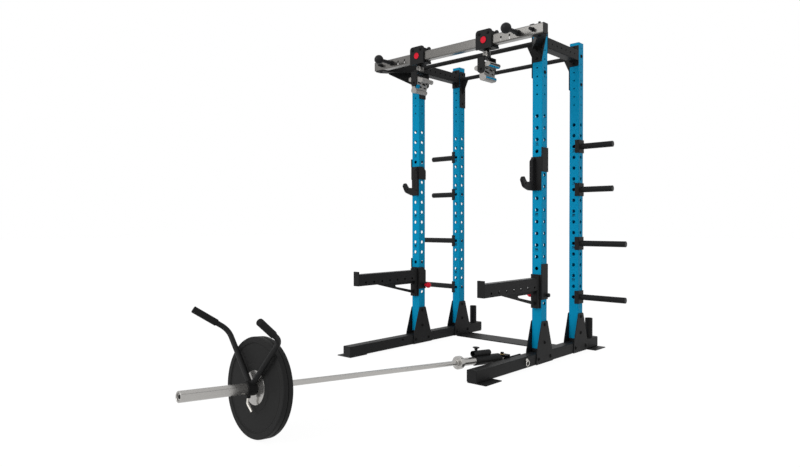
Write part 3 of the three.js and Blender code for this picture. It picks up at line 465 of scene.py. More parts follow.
def box(xs, ys, zs, soft=1.0, cuts=(), corner=0.0, axis="Z"):
    """A block with softened edges; corner rounds the four edges that run along axis."""
    u, v, w = {"X": (ys, zs, xs), "Y": (xs, zs, ys), "Z": (xs, ys, zs)}[axis]
    outline = rectangle(u, v)
    return prism(rounded(outline, corner) if corner else outline, axis, *w, soft, cuts)


def boolean(mesh, tool, operation):
    other = placed("tool", tool)
    mesh = worked(mesh,
        ("BOOLEAN", {"operation": operation, "solver": "MANIFOLD", "object": other}, {}))
    bpy.data.objects.remove(other)
    bpy.data.meshes.remove(tool)
    return mesh


def soft(mesh, width):
    return worked(mesh, bevel(width))


def eased(mesh):
    """A steel tube with its sharp edges just broken."""
    return worked(mesh, bevel(0.9, 1, 50))


def moved(mesh, *steps):
    for step in steps:
        mesh.transform(step)
    return mesh


def fuse(*meshes):
    whole = meshes[0]
    for mesh in meshes[1:]:
        whole = boolean(whole, mesh, "UNION")
    return whole


def lathe(profile, foot, direction, steps=40):
    """Turns a profile of (radius, along) points round an axis that starts at foot."""
    foot, direction = Vector(foot), Vector(direction).normalized()
    turn = direction.to_track_quat("Z", "Y")
    work = bmesh.new()
    rings = []
    for radius, along in profile:
        if radius < 0.01:
            rings.append([work.verts.new((foot + direction * along) * MM)])
            continue
        rings.append([work.verts.new((foot + turn @ Vector((*point, along))) * MM)
            for point in disc((0, 0), radius, steps)])
    loop = profile[0][0] >= 0.01 and profile[-1][0] >= 0.01
    for near, far in zip(rings, rings[1:] + rings[:1] if loop else rings[1:]):
        for step in range(steps):
            after = (step + 1) % steps
            corners = [near[step % len(near)], near[after % len(near)], far[after % len(far)],
                far[step % len(far)]]
            kept = list(dict.fromkeys(corners))
            if len(kept) > 2:
                work.faces.new(kept)
    return from_bmesh(work)


def turned(radii, foot, direction, steps=40, soft=1.0):
    """A closed turned solid from (radius, along) points, with softened corners."""
    first, last = radii[0], radii[-1]
    outline = [(0.0, first[1]), *radii, (0.0, last[1])]
    sizes = [0] + [soft] * len(radii) + [0]
    smooth = []
    for index, (corner, size) in enumerate(zip(outline, sizes)):
        if not size or index in (0, len(outline) - 1):
            smooth.append(corner)
            continue
        smooth += rounded([outline[index - 1], corner, outline[index + 1]], [0, size, 0], 2)[1:-1]
    return lathe(smooth, foot, direction, steps)


def rod(start, end, radius, steps=32, soft=1.0):
    start, end = Vector(start), Vector(end)
    return turned([(radius, 0), (radius, (end - start).length)], start, end - start, steps, soft)


def pipe(start, end, radius, wall):
    """An open round tube."""
    start, end = Vector(start), Vector(end)
    length = (end - start).length
    inner = radius - wall
    outline = rounded([(inner, 0), (radius, 0), (radius, length), (inner, length)], 0.8, 2)
    return lathe(outline, start, end - start)


def bar(points, radius, bend=0.0, sides=24):
    """A round bar along a chain of points."""
    mesh = bpy.data.meshes.new("line")
    mesh.from_pydata([Vector(point) * MM for point in points],
        [(i, i + 1) for i in range(len(points) - 1)], [])
    return worked(mesh, Shape.modifier(BENT_BAR, Radius=radius * MM, Bend=bend * MM, Sides=sides))


def punched(mesh, start, step, count, turn, radius, length=200):
    """The solid with a row of round holes; turn is the axis that the holes run along."""
    angles = {"X": (0, pi / 2, 0), "Y": (pi / 2, 0, 0), "Z": STILL}[turn]
    return worked(mesh, Shape.modifier(PUNCH, Count=count, Start=Vector(start) * MM,
        Step=Vector(step) * MM, Turn=angles, Radius=radius * MM, Length=length * MM))


def square_tube(axis, us, vs, low, high, wall=WALL, corner=TUBE_CORNER, closed=(True, True)):
    """A hollow square tube with rounded corners, closed or open at each end."""
    outer = prism(rounded(rectangle(us, vs), corner), axis, low, high, soft=0)
    (u0, u1), (v0, v1) = sorted(us), sorted(vs)
    inside = rounded(rectangle((u0 + wall, u1 - wall), (v0 + wall, v1 - wall)), corner - wall)
    core = prism(inside, axis, low + (wall if closed[0] else -wall),
        high - (wall if closed[1] else -wall), soft=0)
    return boolean(outer, core, "DIFFERENCE")


class Piece:
    """A visible piece: solids with their materials, which ride on one body."""

    def __init__(self):
        self.work = bmesh.new()
        self.materials = []
        self.screws = {}

    def add(self, material, *meshes):
        if material not in self.materials:
            self.materials.append(material)
        for mesh in meshes:
            mesh.polygons.foreach_set("material_index", [self.materials.index(material)]
                * len(mesh.polygons))
            self.work.from_mesh(mesh)
            bpy.data.meshes.remove(mesh)
        return self

    def screw(self, place, facing, size=1.0, kind="button"):
        self.screws.setdefault((kind, size), []).append((Vector(place) * MM, Vector(facing)))
        return self

    def finish(self, name, node, label="", slot="black_steel", moves=False, body="frame"):
        """Makes the piece in place of node; if it moves, its body has the node's name."""
        name, node = (f"{word}_{label}" if label else word for word in (name, node))
        for (kind, size), spots in self.screws.items():
            points = bpy.data.meshes.new("spots")
            points.from_pydata([place for place, _ in spots], [], [])
            facing = points.attributes.new("facing", "FLOAT_VECTOR", "POINT")
            facing.data.foreach_set("vector", [value for _, way in spots for value in way])
            material, template = TEMPLATES[kind]
            self.add(material, worked(points, Shape.modifier(FASTENERS, Fastener=template,
                Scale=size, Material=material)))
        mesh = bpy.data.meshes.new(name)
        self.work.to_mesh(mesh)
        self.work.free()
        for material in self.materials:
            mesh.materials.append(material)
        mesh.polygons.foreach_set("use_smooth", [True] * len(mesh.polygons))
        mesh.set_sharp_from_angle(angle=radians(50))
        mesh = worked(mesh, ("WEIGHTED_NORMAL", {"keep_sharp": True, "weight": 90}, {}))
        mesh.name = name
        piece = placed(name, mesh)
        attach(piece, node if moves else body)
        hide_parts(node)


def template(mesh):
    keeper = placed("template", mesh)
    keeper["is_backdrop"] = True
    keeper.hide_render = True
    return keeper


def button_head():
    """A domed socket screw on its washer, 18 mm across, along +Z."""
    head = [(9, 1.6), (9, 2.4), (8.2, 4.2), (6.6, 5.4), (4.6, 5.9)]
    whole = turned(head, STILL, UP, 24, 0.4)
    socket = prism(disc((0, 0), 3.4, 6), "Z", 2.6, 8, soft=0)
    whole = boolean(whole, socket, "DIFFERENCE")
    return fuse(whole, turned([(10.5, -0.6), (10.5, 1.8)], STILL, UP, 28, 0.5))


def hex_head():
    """A hexagon bolt head on its washer, along +Z."""
    head = prism(disc((0, 0), 9.2, 6), "Z", 1.5, 8, soft=0.8)
    return fuse(head, turned([(11.5, -0.6), (11.5, 1.8)], STILL, UP, 28, 0.5))


TEMPLATES = {"button": (SCREW, template(button_head())), "hex": (SCREW, template(hex_head())),
    "bright": (ZINC, template(button_head()))}


def number(text, size, x, face_y, z):
    """Raised digits on a face that looks towards -Y."""
    curve = bpy.data.curves.new("digits", "FONT")
    curve.body, curve.size = text, size * MM
    curve.extrude, curve.offset = 0.3 * MM, 0.045 * size * MM
    curve.align_x = curve.align_y = "CENTER"
    curve.resolution_u = 2
    mesh = evaluated(placed("digits", curve))
    bpy.data.curves.remove(curve)
    mesh.transform(Matrix.Translation(Vector((x, face_y, z)) * MM)
        @ Matrix.Rotation(pi / 2, 4, "X"))
    mesh.materials.clear()
    return mesh


# ---- Uprights and base ----

for label, sign, y in CORNERS:
    x = sign * SIDE
    post = square_tube("Z", span(x), span(y), FOOT, TOP, closed=(False, True))
    rows = ((LOWEST_HOLE, HOLE_PITCH, HOLE_COUNT, HOLE_RADIUS),
        (SMALL_HOLE_START, SMALL_HOLE_PITCH, SMALL_HOLE_COUNT, SMALL_HOLE_RADIUS))
    for start, pitch, count, radius in rows:
        for turn in "XY":
            post = punched(post, (x, y, start), (0, 0, pitch), count, turn, radius)
    upright = Piece().add(BLUE, eased(post))
    for index in range(2, HOLE_COUNT, 3):
        digits = number(f"{index + 1:02d}", 22, x, y - HALF, hole_height(index) - 29)
        upright.add(INK, digits, box(span(x, 14), (y - HALF - 0.3, y - HALF + 0.3),
            (hole_height(index) - 42, hole_height(index) - 40), soft=0))
    for z in (PLATE_SCREW, TOP_LINE) if y == REAR else (PLATE_SCREW,):
        upright.screw((x + sign * HALF, y, z), (sign, 0, 0), 1.25)
    upright.finish("post", "upright", label, slot="blue_steel")

    for kind, outward in (("outer", sign), ("inner", -sign)):
        near, far = x + outward * (HALF + SEAT), x + outward * (HALF + SEAT + PLATE)
        outline = [(y - 112, 5.3), (y + 112, 5.3), (y + 100, 95), (y + HALF, 292), (y - HALF, 292),
            (y - 100, 95)]
        gusset = Piece().add(BLACK, prism(rounded(outline, [2, 2, 10, 9, 9, 10]), "X",
            near, far, 1.2))
        for v, z in ((0, 267), (0, 146), (-78, 41), (78, 41)):
            gusset.screw((far, y + v, z), (outward, 0, 0), 1.2)
        gusset.finish("base_gusset", "gusset", f"{kind}_{label}")

for label, sign in SIDES:
    x = sign * SIDE
    body = square_tube("Y", span(x), (RUNNER_FOOT, RUNNER_TOP), RUNNER_FRONT, RUNNER_REAR)
    body = punched(body, (x, *RING_PIN), (0, 100, 0), 1, "X", RING_PIN_BORE)
    runner = Piece().add(BLACK, eased(body))
    for y in (RUNNER_FRONT, RUNNER_REAR):
        inward = 1 if y < 0 else -1
        runner.add(BLACK, box((x - sign * 35.5, x + sign * 103.5), (y, y + inward * 170), (0, 5.9),
            1.2, corner=6))
        runner.add(PLASTIC, box((x - HALF + 4, x + HALF - 4), (y - inward * 1.6, y + inward * 4),
            (9, 76), 1.4, corner=4, axis="Y"))
    for y in (FRONT, REAR):
        runner.add(BLACK, box(span(x), span(y), (79, 102), 1.2, corner=5))
    holder_y = REAR + 215
    runner.add(BLACK, pipe((x, holder_y, 79), (x, holder_y, 228), 28.5, 3),
        turned([(30.5, 0), (30.5, 2.2)], (x, holder_y, 79.6), UP, 40, 0.8))
    runner.finish("runner", "base_runner", label)

low, high = (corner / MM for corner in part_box("floor_crossmember"))
crossmember = Piece().add(BLACK, box((low.x, high.x), (low.y, high.y), (0, 8), 1.4, corner=4))
for sign in (-1, 1):
    for y in (-60, 60):
        crossmember.screw((sign * (high.x - 26), y, 8), UP)
crossmember.finish("crossmember", "floor_crossmember")

# ---- Top frame ----

for label, sign in SIDES:
    x = sign * SIDE
    front, rear = FRONT + HALF + SEAT, REAR - HALF - SEAT
    body = square_tube("Y", span(x), span(TOP_LINE), front + 3, rear - 3)
    body = punched(body, (x, (front + rear) / 2 - 160, TOP_LINE), (0, 64, 0), 6, "X", 6)
    beam = Piece().add(BLACK, eased(body))
    for ys, inward in (((front, front + PLATE), 1), ((rear - PLATE, rear), -1)):
        beam.add(BLACK, box(span(x), ys, span(TOP_LINE, 75), 1.2, corner=4, axis="Y"))
        for z in (2260, 2140):
            beam.screw((x, ys[1] if inward > 0 else ys[0], z), (0, inward, 0))
    beam.finish("side_beam", "top_side_beam", label)

for end, y in ENDS:
    reach = SIDE - HALF - SEAT
    pull_up = Piece().add(BLACK, rod((-reach + 3, y, TOP_LINE), (reach - 3, y, TOP_LINE), 16, 40))
    for sign in (-1, 1):
        face = sign * reach
        inner = face - sign * PLATE
        web = [(inner + sign, TOP_LINE - 4), (inner - sign * 57, TOP_LINE - 4),
            (inner - sign * 57, TOP_LINE - 15), (inner + sign, TOP_LINE - 137)]
        pull_up.add(BLACK, box((face, inner), span(y), (TOP_LINE - 245, TOP_LINE + 60), 1.2,
            corner=4, axis="X"), prism(rounded(web, [0, 3, 6, 0]), "Y", y - 3, y + 3, 1),
            turned([(20, 0), (20, 2), (17, 5)], (inner, y, TOP_LINE), (-sign, 0, 0), 40, 0.8))
        for z in (PLATE_SCREW, TOP_LINE + 40):
            pull_up.screw((inner, y, z), (-sign, 0, 0))
    pull_up.finish("pull_up", "pull_up_bar", end)

# ---- Front beam ----

reach = BEAM_END - CAP - SEAT
body = square_tube("X", (BEAM_FACE, BEAM_BACK), (BEAM_LOW, BEAM_HIGH), -reach, reach, wall=4,
    corner=8, closed=(False, False))
for sign in (-1, 1):
    body = punched(body, (sign * BEAM_HOLE, BEAM_FACE, BEAM_LINE), (sign * BEAM_HOLE_PITCH, 0, 0),
        2, "Y", 7, 20)
beam = Piece().add(STEEL, eased(body))
for sign in (-1, 1):
    for text, at in (("1", BEAM_HOLE), ("2", BEAM_HOLE + BEAM_HOLE_PITCH)):
        beam.add(MARK, number(text, 17, sign * at, BEAM_FACE, BEAM_LINE - 18))
    stub = [(11, -3), (11, 30), (10, 36), (7, 38)]
    middle = (sign * 673, BEAM_FACE, BEAM_LINE)
    beam.add(PLASTIC, turned(stub, middle, AHEAD, 32, 1.4),
        turned([(14.5, 0), (14.5, 2.4)], middle, AHEAD, 32, 0.9))
    bolt = sign * 705
    beam.screw((bolt, BEAM_MIDDLE, BEAM_HIGH), UP, 1.0, "hex")
    beam.add(SCREW, rod((bolt, BEAM_MIDDLE, BEAM_LOW - 15), (bolt, BEAM_MIDDLE, BEAM_HIGH + 16),
        8, 24))
    beam.screw((bolt, BEAM_MIDDLE, BEAM_LOW - 6.4), (0, 0, -1), 0.95, "hex")
    beam.add(PLASTIC, box((sign * 640, sign * 672), (BEAM_FACE + 14, BEAM_BACK - 14),
        (BEAM_HIGH - 1, BEAM_HIGH + 9), 2, corner=5))
beam.finish("beam", "front_beam", slot="grey_steel")

for label, sign in SIDES:
    inside = BEAM_END - CAP
    cap = Piece().add(PLASTIC, box((sign * inside, sign * BEAM_END), (BEAM_FACE, BEAM_BACK),
        (BEAM_LOW, BEAM_HIGH), 1.3, corner=5, axis="X"),
        box((sign * (inside - 18), sign * (inside + 1)), (BEAM_FACE + 4.4, BEAM_BACK - 4.4),
        (BEAM_LOW + 4.4, BEAM_HIGH - 4.4), 1, corner=3, axis="X"))
    cap.finish("end_cap", "beam_cap", label, slot="plastic")

    face = FRONT - HALF - SEAT
    near, far = sign * (SIDE - HALF), sign * (SIDE + HALF)
    flange_top, flange_low = BEAM_LOW - SEAT, BEAM_LOW - SEAT - PLATE
    bracket = Piece().add(BLACK, box((near, far), (face - PLATE, face),
        (BRACKET_FOOT, BRACKET_FOOT + 160), 1.2, corner=4, axis="Y"))
    tip, heel = sign * 744, sign * 668
    flange = [(near, face - 1), (far, face - 1), (tip, BEAM_BACK), (tip, BEAM_FACE + 4),
        (heel, BEAM_FACE + 4), (heel, BEAM_BACK)]
    bracket.add(BLACK, prism(rounded(flange, [0, 0, 3, 10, 10, 3]), "Z",
        flange_low, flange_top, 1.2))
    # The webs' wall edges and, ahead of them, where each one ends.
    outer, inner = (far, face - 1), (near, face - 1)
    ahead = (far + (tip - far) * 0.73, face + (BEAM_BACK - face) * 0.73)
    hanging = [(*outer, BRACKET_FOOT + 14), (*outer, flange_low + 1), (*ahead, flange_low + 1),
        (*ahead, flange_low - 6)]
    ahead = (sign * 690, BEAM_BACK + SEAT)
    standing = [(*inner, flange_top - 1), (*inner, BRACKET_FOOT + 158), (*ahead, flange_top - 1),
        (*ahead, BEAM_HIGH - 12)]
    for inward, corners in ((-sign, hanging), (sign, standing)):
        work = bmesh.new()
        for corner in corners:
            for shift in (0, inward * PLATE):
                work.verts.new((Vector(corner) + Vector((shift, 0, 0))) * MM)
        bmesh.ops.convex_hull(work, input=work.verts)
        bmesh.ops.dissolve_limit(work, angle_limit=0.02, verts=work.verts, edges=work.edges)
        bracket.add(BLACK, soft(from_bmesh(work), 0.8))
    for rise in (22, 82):
        bracket.screw((sign * SIDE, face - PLATE, BRACKET_FOOT + rise), AHEAD)
    bracket.finish("bracket", "beam_bracket", label)

    x = sign * 564
    foot = (x, BEAM_FACE - SEAT, BEAM_LINE)
    base = [(20, 0), (20, 7), (18.5, 10)]
    neck = [(15, 8), (15.4, 24), (17, 40), (16.4, 43), (14.6, 45), (13.6, 70), (13.2, 108),
        (15, 118), (15, 126)]
    radius, middle = 34.5, 140.5
    sphere = [(radius * sin(pi * step / 20), middle - radius * cos(pi * step / 20))
        for step in range(1, 20)]
    ball = [(0, middle - radius), *sphere, (0, middle + radius)]
    handle = Piece().add(PLASTIC, turned(base, foot, AHEAD, 40, 1.2),
        turned(neck, foot, AHEAD, 40, 1.6), lathe(ball, foot, AHEAD, 40))
    handle.finish("ball_handle", "ball_grip", label, slot="plastic")

# ---- Sliding carriages and their hanging grips ----

# Finger scoops in a grip block: place along it, height, half length and radius.
SCOOPS = ((-36, 8, 12, 4.5), (18, 2, 12, 7), (-28, -18, 22, 6.5), (46, 8, 6, 4), (36, -24, 8, 5))


def scoop(y, v, reach, radius, inset=0):
    lean = reach * 0.12
    return around((y - reach, v + lean, radius - inset),
        (y + reach, v - lean, radius - inset), steps=20)


for label, sign in SIDES:
    x = sign * CARRIAGE_AT
    front = BEAM_FACE - RUNNING
    back = BEAM_BACK + RUNNING
    outline = rounded(rectangle(span(x, 65), (CARRIAGE_UNDER - 6, CARRIAGE_TOP)), [3, 3, 22, 22], 6)
    pocket = prism(disc((x, BUTTON_LINE), 26.8, 48), "Y",
        CARRIAGE_FACE - 3, CARRIAGE_FACE + 7, soft=0)
    shell = prism(outline, "Y", CARRIAGE_FACE, front, 2, [pocket])
    rear, crown = back + 26, BEAM_HIGH + 28
    slide = [(front - 1, CARRIAGE_UNDER), (rear, CARRIAGE_UNDER), (rear, crown - 14),
        (rear - 14, crown), (front - 1, crown)]
    channel = box(span(x, 80), (front, back), (BEAM_LOW - RUNNING, BEAM_HIGH + RUNNING), soft=0)
    frame_part = prism(rounded(slide, [0, 3, 12, 12, 0]), "X", x - 58, x + 58, 1.4, [channel])
    carriage = Piece().add(BLACK, shell, frame_part)
    for end in (-1, 1):
        roller = [(19, 0), (19, 10), (17.5, 12), (6, 12)]
        carriage.add(PLASTIC, turned(roller, (x + end * 52, BEAM_BACK + 6, BEAM_HIGH + 23),
            (end, 0, 0), 36, 1), box((x + end * 57, x + end * 63), (BEAM_FACE + 6, rear - 1),
            (CARRIAGE_UNDER, BEAM_LOW - 1.2), 1.4))
        for y in (BEAM_FACE + 20, BEAM_BACK):
            carriage.screw((x + end * 63, y, CARRIAGE_UNDER + 7), (end, 0, 0), 0.4)
        carriage.screw((x + end * 36, CARRIAGE_FACE, CARRIAGE_TOP - 26), AHEAD, 1.1)
    for z in (CARRIAGE_UNDER + 22, BEAM_HIGH - 8):
        for end in (-1, 1):
            carriage.screw((x + end * 40, rear, z), (0, 1, 0), 0.7)
    carriage.add(BLACK, box(span(x, 18), span(BEAM_MIDDLE, 6), (SWING_LINE, CARRIAGE_UNDER + 1), 1),
        prism(disc((x, SWING_LINE), 18, 40), "Y", *span(BEAM_MIDDLE, 6), 1),
        box(span(x, 26), span(BEAM_MIDDLE, 16), (CARRIAGE_UNDER - 6, CARRIAGE_UNDER + 1),
        1.4, corner=5))
    carriage.finish("slide", "carriage", label, moves=True)

    dish, collar = [(22.6, 0), (22.6, 6.4), (20.6, 6.4), (18, 5.2)], [(26, 0), (26, 4.4), (22, 4.4)]
    middle = (x, CARRIAGE_FACE + 3.2, BUTTON_LINE)
    button = Piece().add(RED, turned(dish, middle, AHEAD, 56, 1))
    button.add(GRIP_RUBBER_AND_PAINTED_SHADE, turned(collar, middle, AHEAD, 56, 0.8))
    button.finish("button", "lock_button", label, slot="red_plastic", moves=True)

    outline = rounded([(x - 20, FORK_FOOT), (x + 20, FORK_FOOT), (x + 17, SWING_LINE + 5),
        (x - 17, SWING_LINE + 5)], [2, 2, 8, 8])
    slot = box(span(x, 40), span(BEAM_MIDDLE, 6.8), (SWING_LINE - 18.8, SWING_LINE + 40), soft=0)
    fork = Piece().add(STEEL, prism(outline, "Y", *span(BEAM_MIDDLE, 22), 1, [slot]))
    for facing in (-1, 1):
        fork.screw((x, BEAM_MIDDLE + facing * 22, SWING_LINE - 5), (0, facing, 0), 0.5)
        for u in (-13, 13):
            fork.screw((x + u, BEAM_MIDDLE + facing * 22, FORK_FOOT + 8), (0, facing, 0),
                0.32, "bright")
    fork.finish("fork", "swivel_fork", label, slot="grey_steel", moves=True)

    reach = 71.8
    yoke = Piece().add(BLACK, box(span(x, NARROW), span(BEAM_MIDDLE, reach),
        (YOKE_TOP - 9, YOKE_TOP), 1.6, corner=3, axis="X"))
    foot = YOKE_TOP - 112
    outline = rounded(rectangle(span(x, NARROW), (foot, YOKE_TOP - 1)), [20, 20, 2, 2], 8)
    for facing in (-1, 1):
        far = BEAM_MIDDLE + facing * reach
        yoke.add(BLACK, prism(outline, "Y", far, far - facing * 9, 1.2),
            rod((x, far, GRIP_AXIS), (x, BEAM_MIDDLE + facing * 52.4, GRIP_AXIS), 9, 32, 0.6))
        yoke.screw((x, far - facing, GRIP_AXIS), (0, facing, 0), 1.0)
    yoke.add(SCREW, turned([(15, 0), (15, 1.2)], (x, BEAM_MIDDLE, YOKE_TOP - 10.2), UP, 32, 0.4))
    yoke.finish("yoke", "grip_yoke", label, moves=True)

    # The block is made about its axle at the origin, then hung at its angle.
    hang = 0 if sign > 0 else -19
    reach, lobe = 62, 16
    # Each lobe is the outline round a few middles; they're laid out across and up from the axle.
    bars = [((-2, 36), (6, 36), (0, -58), (8, -58)), ((-44 if sign > 0 else -50, 14), (0, 22)),
        ((54, 30), (6, 32)), ((22, -57), (0, -57))]
    shaped = fuse(*(prism(around(*((u, v, lobe) for u, v in middles)), "Y", -reach, reach, soft=0)
        for middles in bars))
    for place in SCOOPS:
        shaped = boolean(shaped, prism(scoop(*place), "X", 15, 50, soft=0), "DIFFERENCE")
    for facing in (-1, 1):
        bore = prism(disc((0, 0), 9.8, 32), "Y", facing * 50, facing * 70, soft=0)
        shaped = boolean(shaped, bore, "DIFFERENCE")
    block = [(ALLOY, soft(shaped, 1.4))]
    # The dark rubber linings at the floors of the finger scoops are painted shade: they darken the
    # hollows where shade falls.
    block += [(GRIP_RUBBER_AND_PAINTED_SHADE, prism(scoop(*place, 0.3), "X", 13, 17, 0.8)) for place in SCOOPS]
    upper, lower = (around((u, v, lobe + 0.5), (6, v + 1, lobe + 0.5), steps=64)
        for u, v in ((54, 30), (22, -58)))

    def band(skin, low, high, start, end):
        cut = box((54 if skin is upper else 24, 90), (-90, 90), (low, high), soft=0)
        return boolean(prism(skin, "Y", start, end, soft=0), cut, "INTERSECT")
    # The dark rubber bands on the blocks are painted shade: they stand for the shade inside the
    # blocks' slots.
    if sign > 0:
        block += [(BLUE, band(upper, 13, 21, -61, 61)), (GRIP_RUBBER_AND_PAINTED_SHADE, band(upper, 27, 34, -56, 61)),
            (BLUE, band(lower, -62, -50, -61, 61))]
    else:
        block += [(BLUE, box((14, 25.5), (-62, -24), (-34, -6), 0.8)),
            (GRIP_RUBBER_AND_PAINTED_SHADE, band(upper, 14, 18, -10, 16))]
    hanging = (Matrix.Rotation(radians(-hang), 4, "Y"),
        Matrix.Translation(Vector((x, BEAM_MIDDLE, GRIP_AXIS)) * MM))
    grips = Piece()
    for material, mesh in block:
        grips.add(material, moved(mesh, *hanging))
    grips.finish("grips", "grip_block", label, slot="grip_alloy", moves=True)

# ---- J-hooks and spotter arms ----


def wrap(sign, pin, top, bottom, side_bottom, crest):
    """A front plate and two side plates that hang on an upright by a pin."""
    x, inside, outside = sign * SIDE, HALF + RUNNING, HALF + RUNNING + PLATE
    face, back = FRONT - inside, FRONT + HALF
    plan = [(x - outside, back), (x - outside, face - PLATE), (x + outside, face - PLATE),
        (x + outside, back), (x + inside, back), (x + inside, face), (x - inside, face),
        (x - inside, back)]
    middle = prism(rounded(plan, [0, 7, 7, 0, 0, 2, 2, 0]), "Z", side_bottom, top, soft=0)
    plan = rounded(rectangle(span(x, 36), (face - PLATE, face)), [4, 4, 0, 0])
    lower = prism(plan, "Z", bottom, side_bottom + 1, soft=0)
    plan = rectangle((x + sign * inside, x + sign * outside), (face - PLATE, back))
    plan = rounded(plan, [0, 5.9, 0, 0] if sign > 0 else [5.9, 0, 0, 0])
    upper = prism(plan, "Z", top - 1, pin + crest, soft=0)
    whole = fuse(middle, lower, upper)
    chamfer = prism([(back + 5, top - 35), (back + 5, top + 5), (back - 35, top + 5)], "X",
        x - sign * (inside - 2), x - sign * (outside + 5), soft=0)
    whole = soft(boolean(whole, chamfer, "DIFFERENCE"), 1.1)
    return whole, rod((x + sign * (outside - 1), FRONT, pin), (x - sign * (HALF - 1), FRONT, pin),
        HANGING_PIN, 32, 1.5)


for label, sign in SIDES:
    x = sign * (SIDE - 20)
    pin = hole_height(13)
    foot, cup, face = 1184, 1240, HANGER_FACE  # heights of the hook's foot and its cup's floor
    hook = Piece().add(BLACK, *wrap(sign, pin, 1414, foot, 1313, 25))
    outline = [(face, foot), (face, 1409), (-598.3, 1409), (-623.3, 1384), (-623.3, cup),
        (-689.3, cup), (-719.3, 1275), (-731.3, 1273), (-744.3, 1252), (-719.3, 1209),
        (-705.3, 1200), (-652.3, foot)]
    radii = [0, 2, 10, 12, 14, 16, 6, 8, 10, 14, 18, 16]
    hook.add(BLACK, prism(rounded(outline, radii), "X", x - 8, x + 8, 1))
    shrunk = [(face, foot + 1), (face, 1407), (-597.8, 1407), (-622.3, 1383), (-622.3, cup + 1),
        (-690.3, cup + 1), (-719.3, 1274), (-730.8, 1272), (-743.3, 1252), (-718.3, 1210),
        (-704.6, 1201), (-651.8, foot + 1)]
    for outward in (-1, 1):
        hook.add(PLASTIC, prism(rounded(shrunk, radii), "X",
            x + outward * 7.6, x + outward * 12, 1.4))
        for y, z in ((face - 22, 1385), (face - 22, 1225), (-706, 1226)):
            hook.screw((x + outward * 12, y, z), (outward, 0, 0), 0.5)
    hook.finish("hook", "j_hook", label, moves=True)

    x = sign * SIDE
    low, high, face = 504, 587, HANGER_FACE  # heights of the tube's underside and top
    end = FRONT - 686
    beam_body = square_tube("Y", span(x, NARROW), (low, high), end, face - 26, corner=5)
    beam_body = punched(beam_body, (x, face - 65, low + 24), (0, -85, 0), 7, "X", 8)
    arm = Piece().add(BLACK, *wrap(sign, hole_height(3), 612, 383, 440, 31),
        box(span(x, NARROW), (face, face - 27), (383, 603), 1.6, corner=6), eased(beam_body),
        box(span(x, NARROW), (end - 6, end + 1), (low, high + 23), 1.6, corner=4, axis="Y"))
    arm.add(PLASTIC, box(span(x, 25), (end + 1, face - 27), (high - 1, high + 2.6), 1.2))
    strut = [(end + 195, low + 1), (face - 26, low - 100), (face - 26, low + 1)]
    opening = rounded([(-829, 483), (-806, 469), (-608.3, 428), (-608.3, 475), (-625, 483)],
        [6, 12, 0, 0, 6])
    arm.add(BLACK, prism(strut, "X", x - 5, x + 5, 1,
        [prism(opening, "X", x - 20, x + 20, soft=0)]))
    lock_y, lock_z = FRONT + 20, 468
    boss = [(9, 0), (9, 9), (14, 11), (14.5, 17), (13, 23), (7, 26)]
    arm.add(PLASTIC, turned(boss, (x + sign * HANGER_SIDE, lock_y, lock_z), (sign, 0, 0), 36, 1.6))
    bush = rounded([(8, 0), (16, 0), (16, 11), (8, 11)], [0, 0, 1.5, 0.6])
    arm.add(BLACK, lathe(bush, (x - sign * HANGER_SIDE, lock_y, lock_z), (-sign, 0, 0), 36))
    for z in (603, 398):
        arm.screw((x, face - 1, z), AHEAD, 0.4)
    arm.finish("safety_arm", "spotter_arm", label, moves=True)

    radius, middle = 23, 46
    ball = [(radius * sin(radians(turn)), middle - radius * cos(radians(turn)))
        for turn in range(40, 180, 10)]
    knob = [(7, 0), (7, 16.4), (12.4, 16.4), (13, 20), (12, 25), *ball]
    handle = Piece().add(RED, turned(knob, (x - sign * (HALF + RUNNING), lock_y, lock_z),
        (-sign, 0, 0), 36, 0.8))
    handle.finish("lock_knob", "arm_lock_pin", label, slot="red_plastic", moves=True)

# ---- Plate storage ----

for label, sign in SIDES:
    for level, (hole, length) in enumerate(((14, 248), (10, 248), (5, 347), (0, 347)), 1):
        x, z = sign * SIDE, hole_height(hole)
        face = x + sign * (HALF + SEAT)
        lip_face = REAR - HALF - SEAT
        skin, lip = face + sign * PLATE, x + sign * (HALF - 26)
        plan = [(face, REAR + HALF), (skin, REAR + HALF), (skin, lip_face - PLATE),
            (lip, lip_face - PLATE), (lip, lip_face), (face, lip_face)]
        saddle = prism(rounded(plan, [0, 0, 7, 0, 0, 1]), "Z", z - 48, z + 48, 1.4)
        tip = face + sign * length
        peg = Piece().add(BLACK, saddle, turned([(21.5, 0), (21.5, length - 5)],
            (face + sign, REAR, z), (sign, 0, 0), 48, 0.8))
        peg.add(PLASTIC, turned([(20.6, -1), (20.6, 1), (21.5, 1.4), (21.5, 4.6), (17, 5)],
            (tip - sign * 5, REAR, z), (sign, 0, 0), 48, 1.4))
        ring = [(21, 0), (25, 0), (21, 4)]
        peg.add(BLACK, lathe(rounded(ring, [0, 0.4, 0.4], 1), (skin, REAR, z), (sign, 0, 0), 48))
        peg.add(SCREW, rod((face + sign, REAR, z), (x - sign * (HALF + 3), REAR, z),
            HANGING_PIN, 32, 1.5))
        peg.finish("peg", "storage_peg", f"{label}_{level}")

# ---- Landmine ----

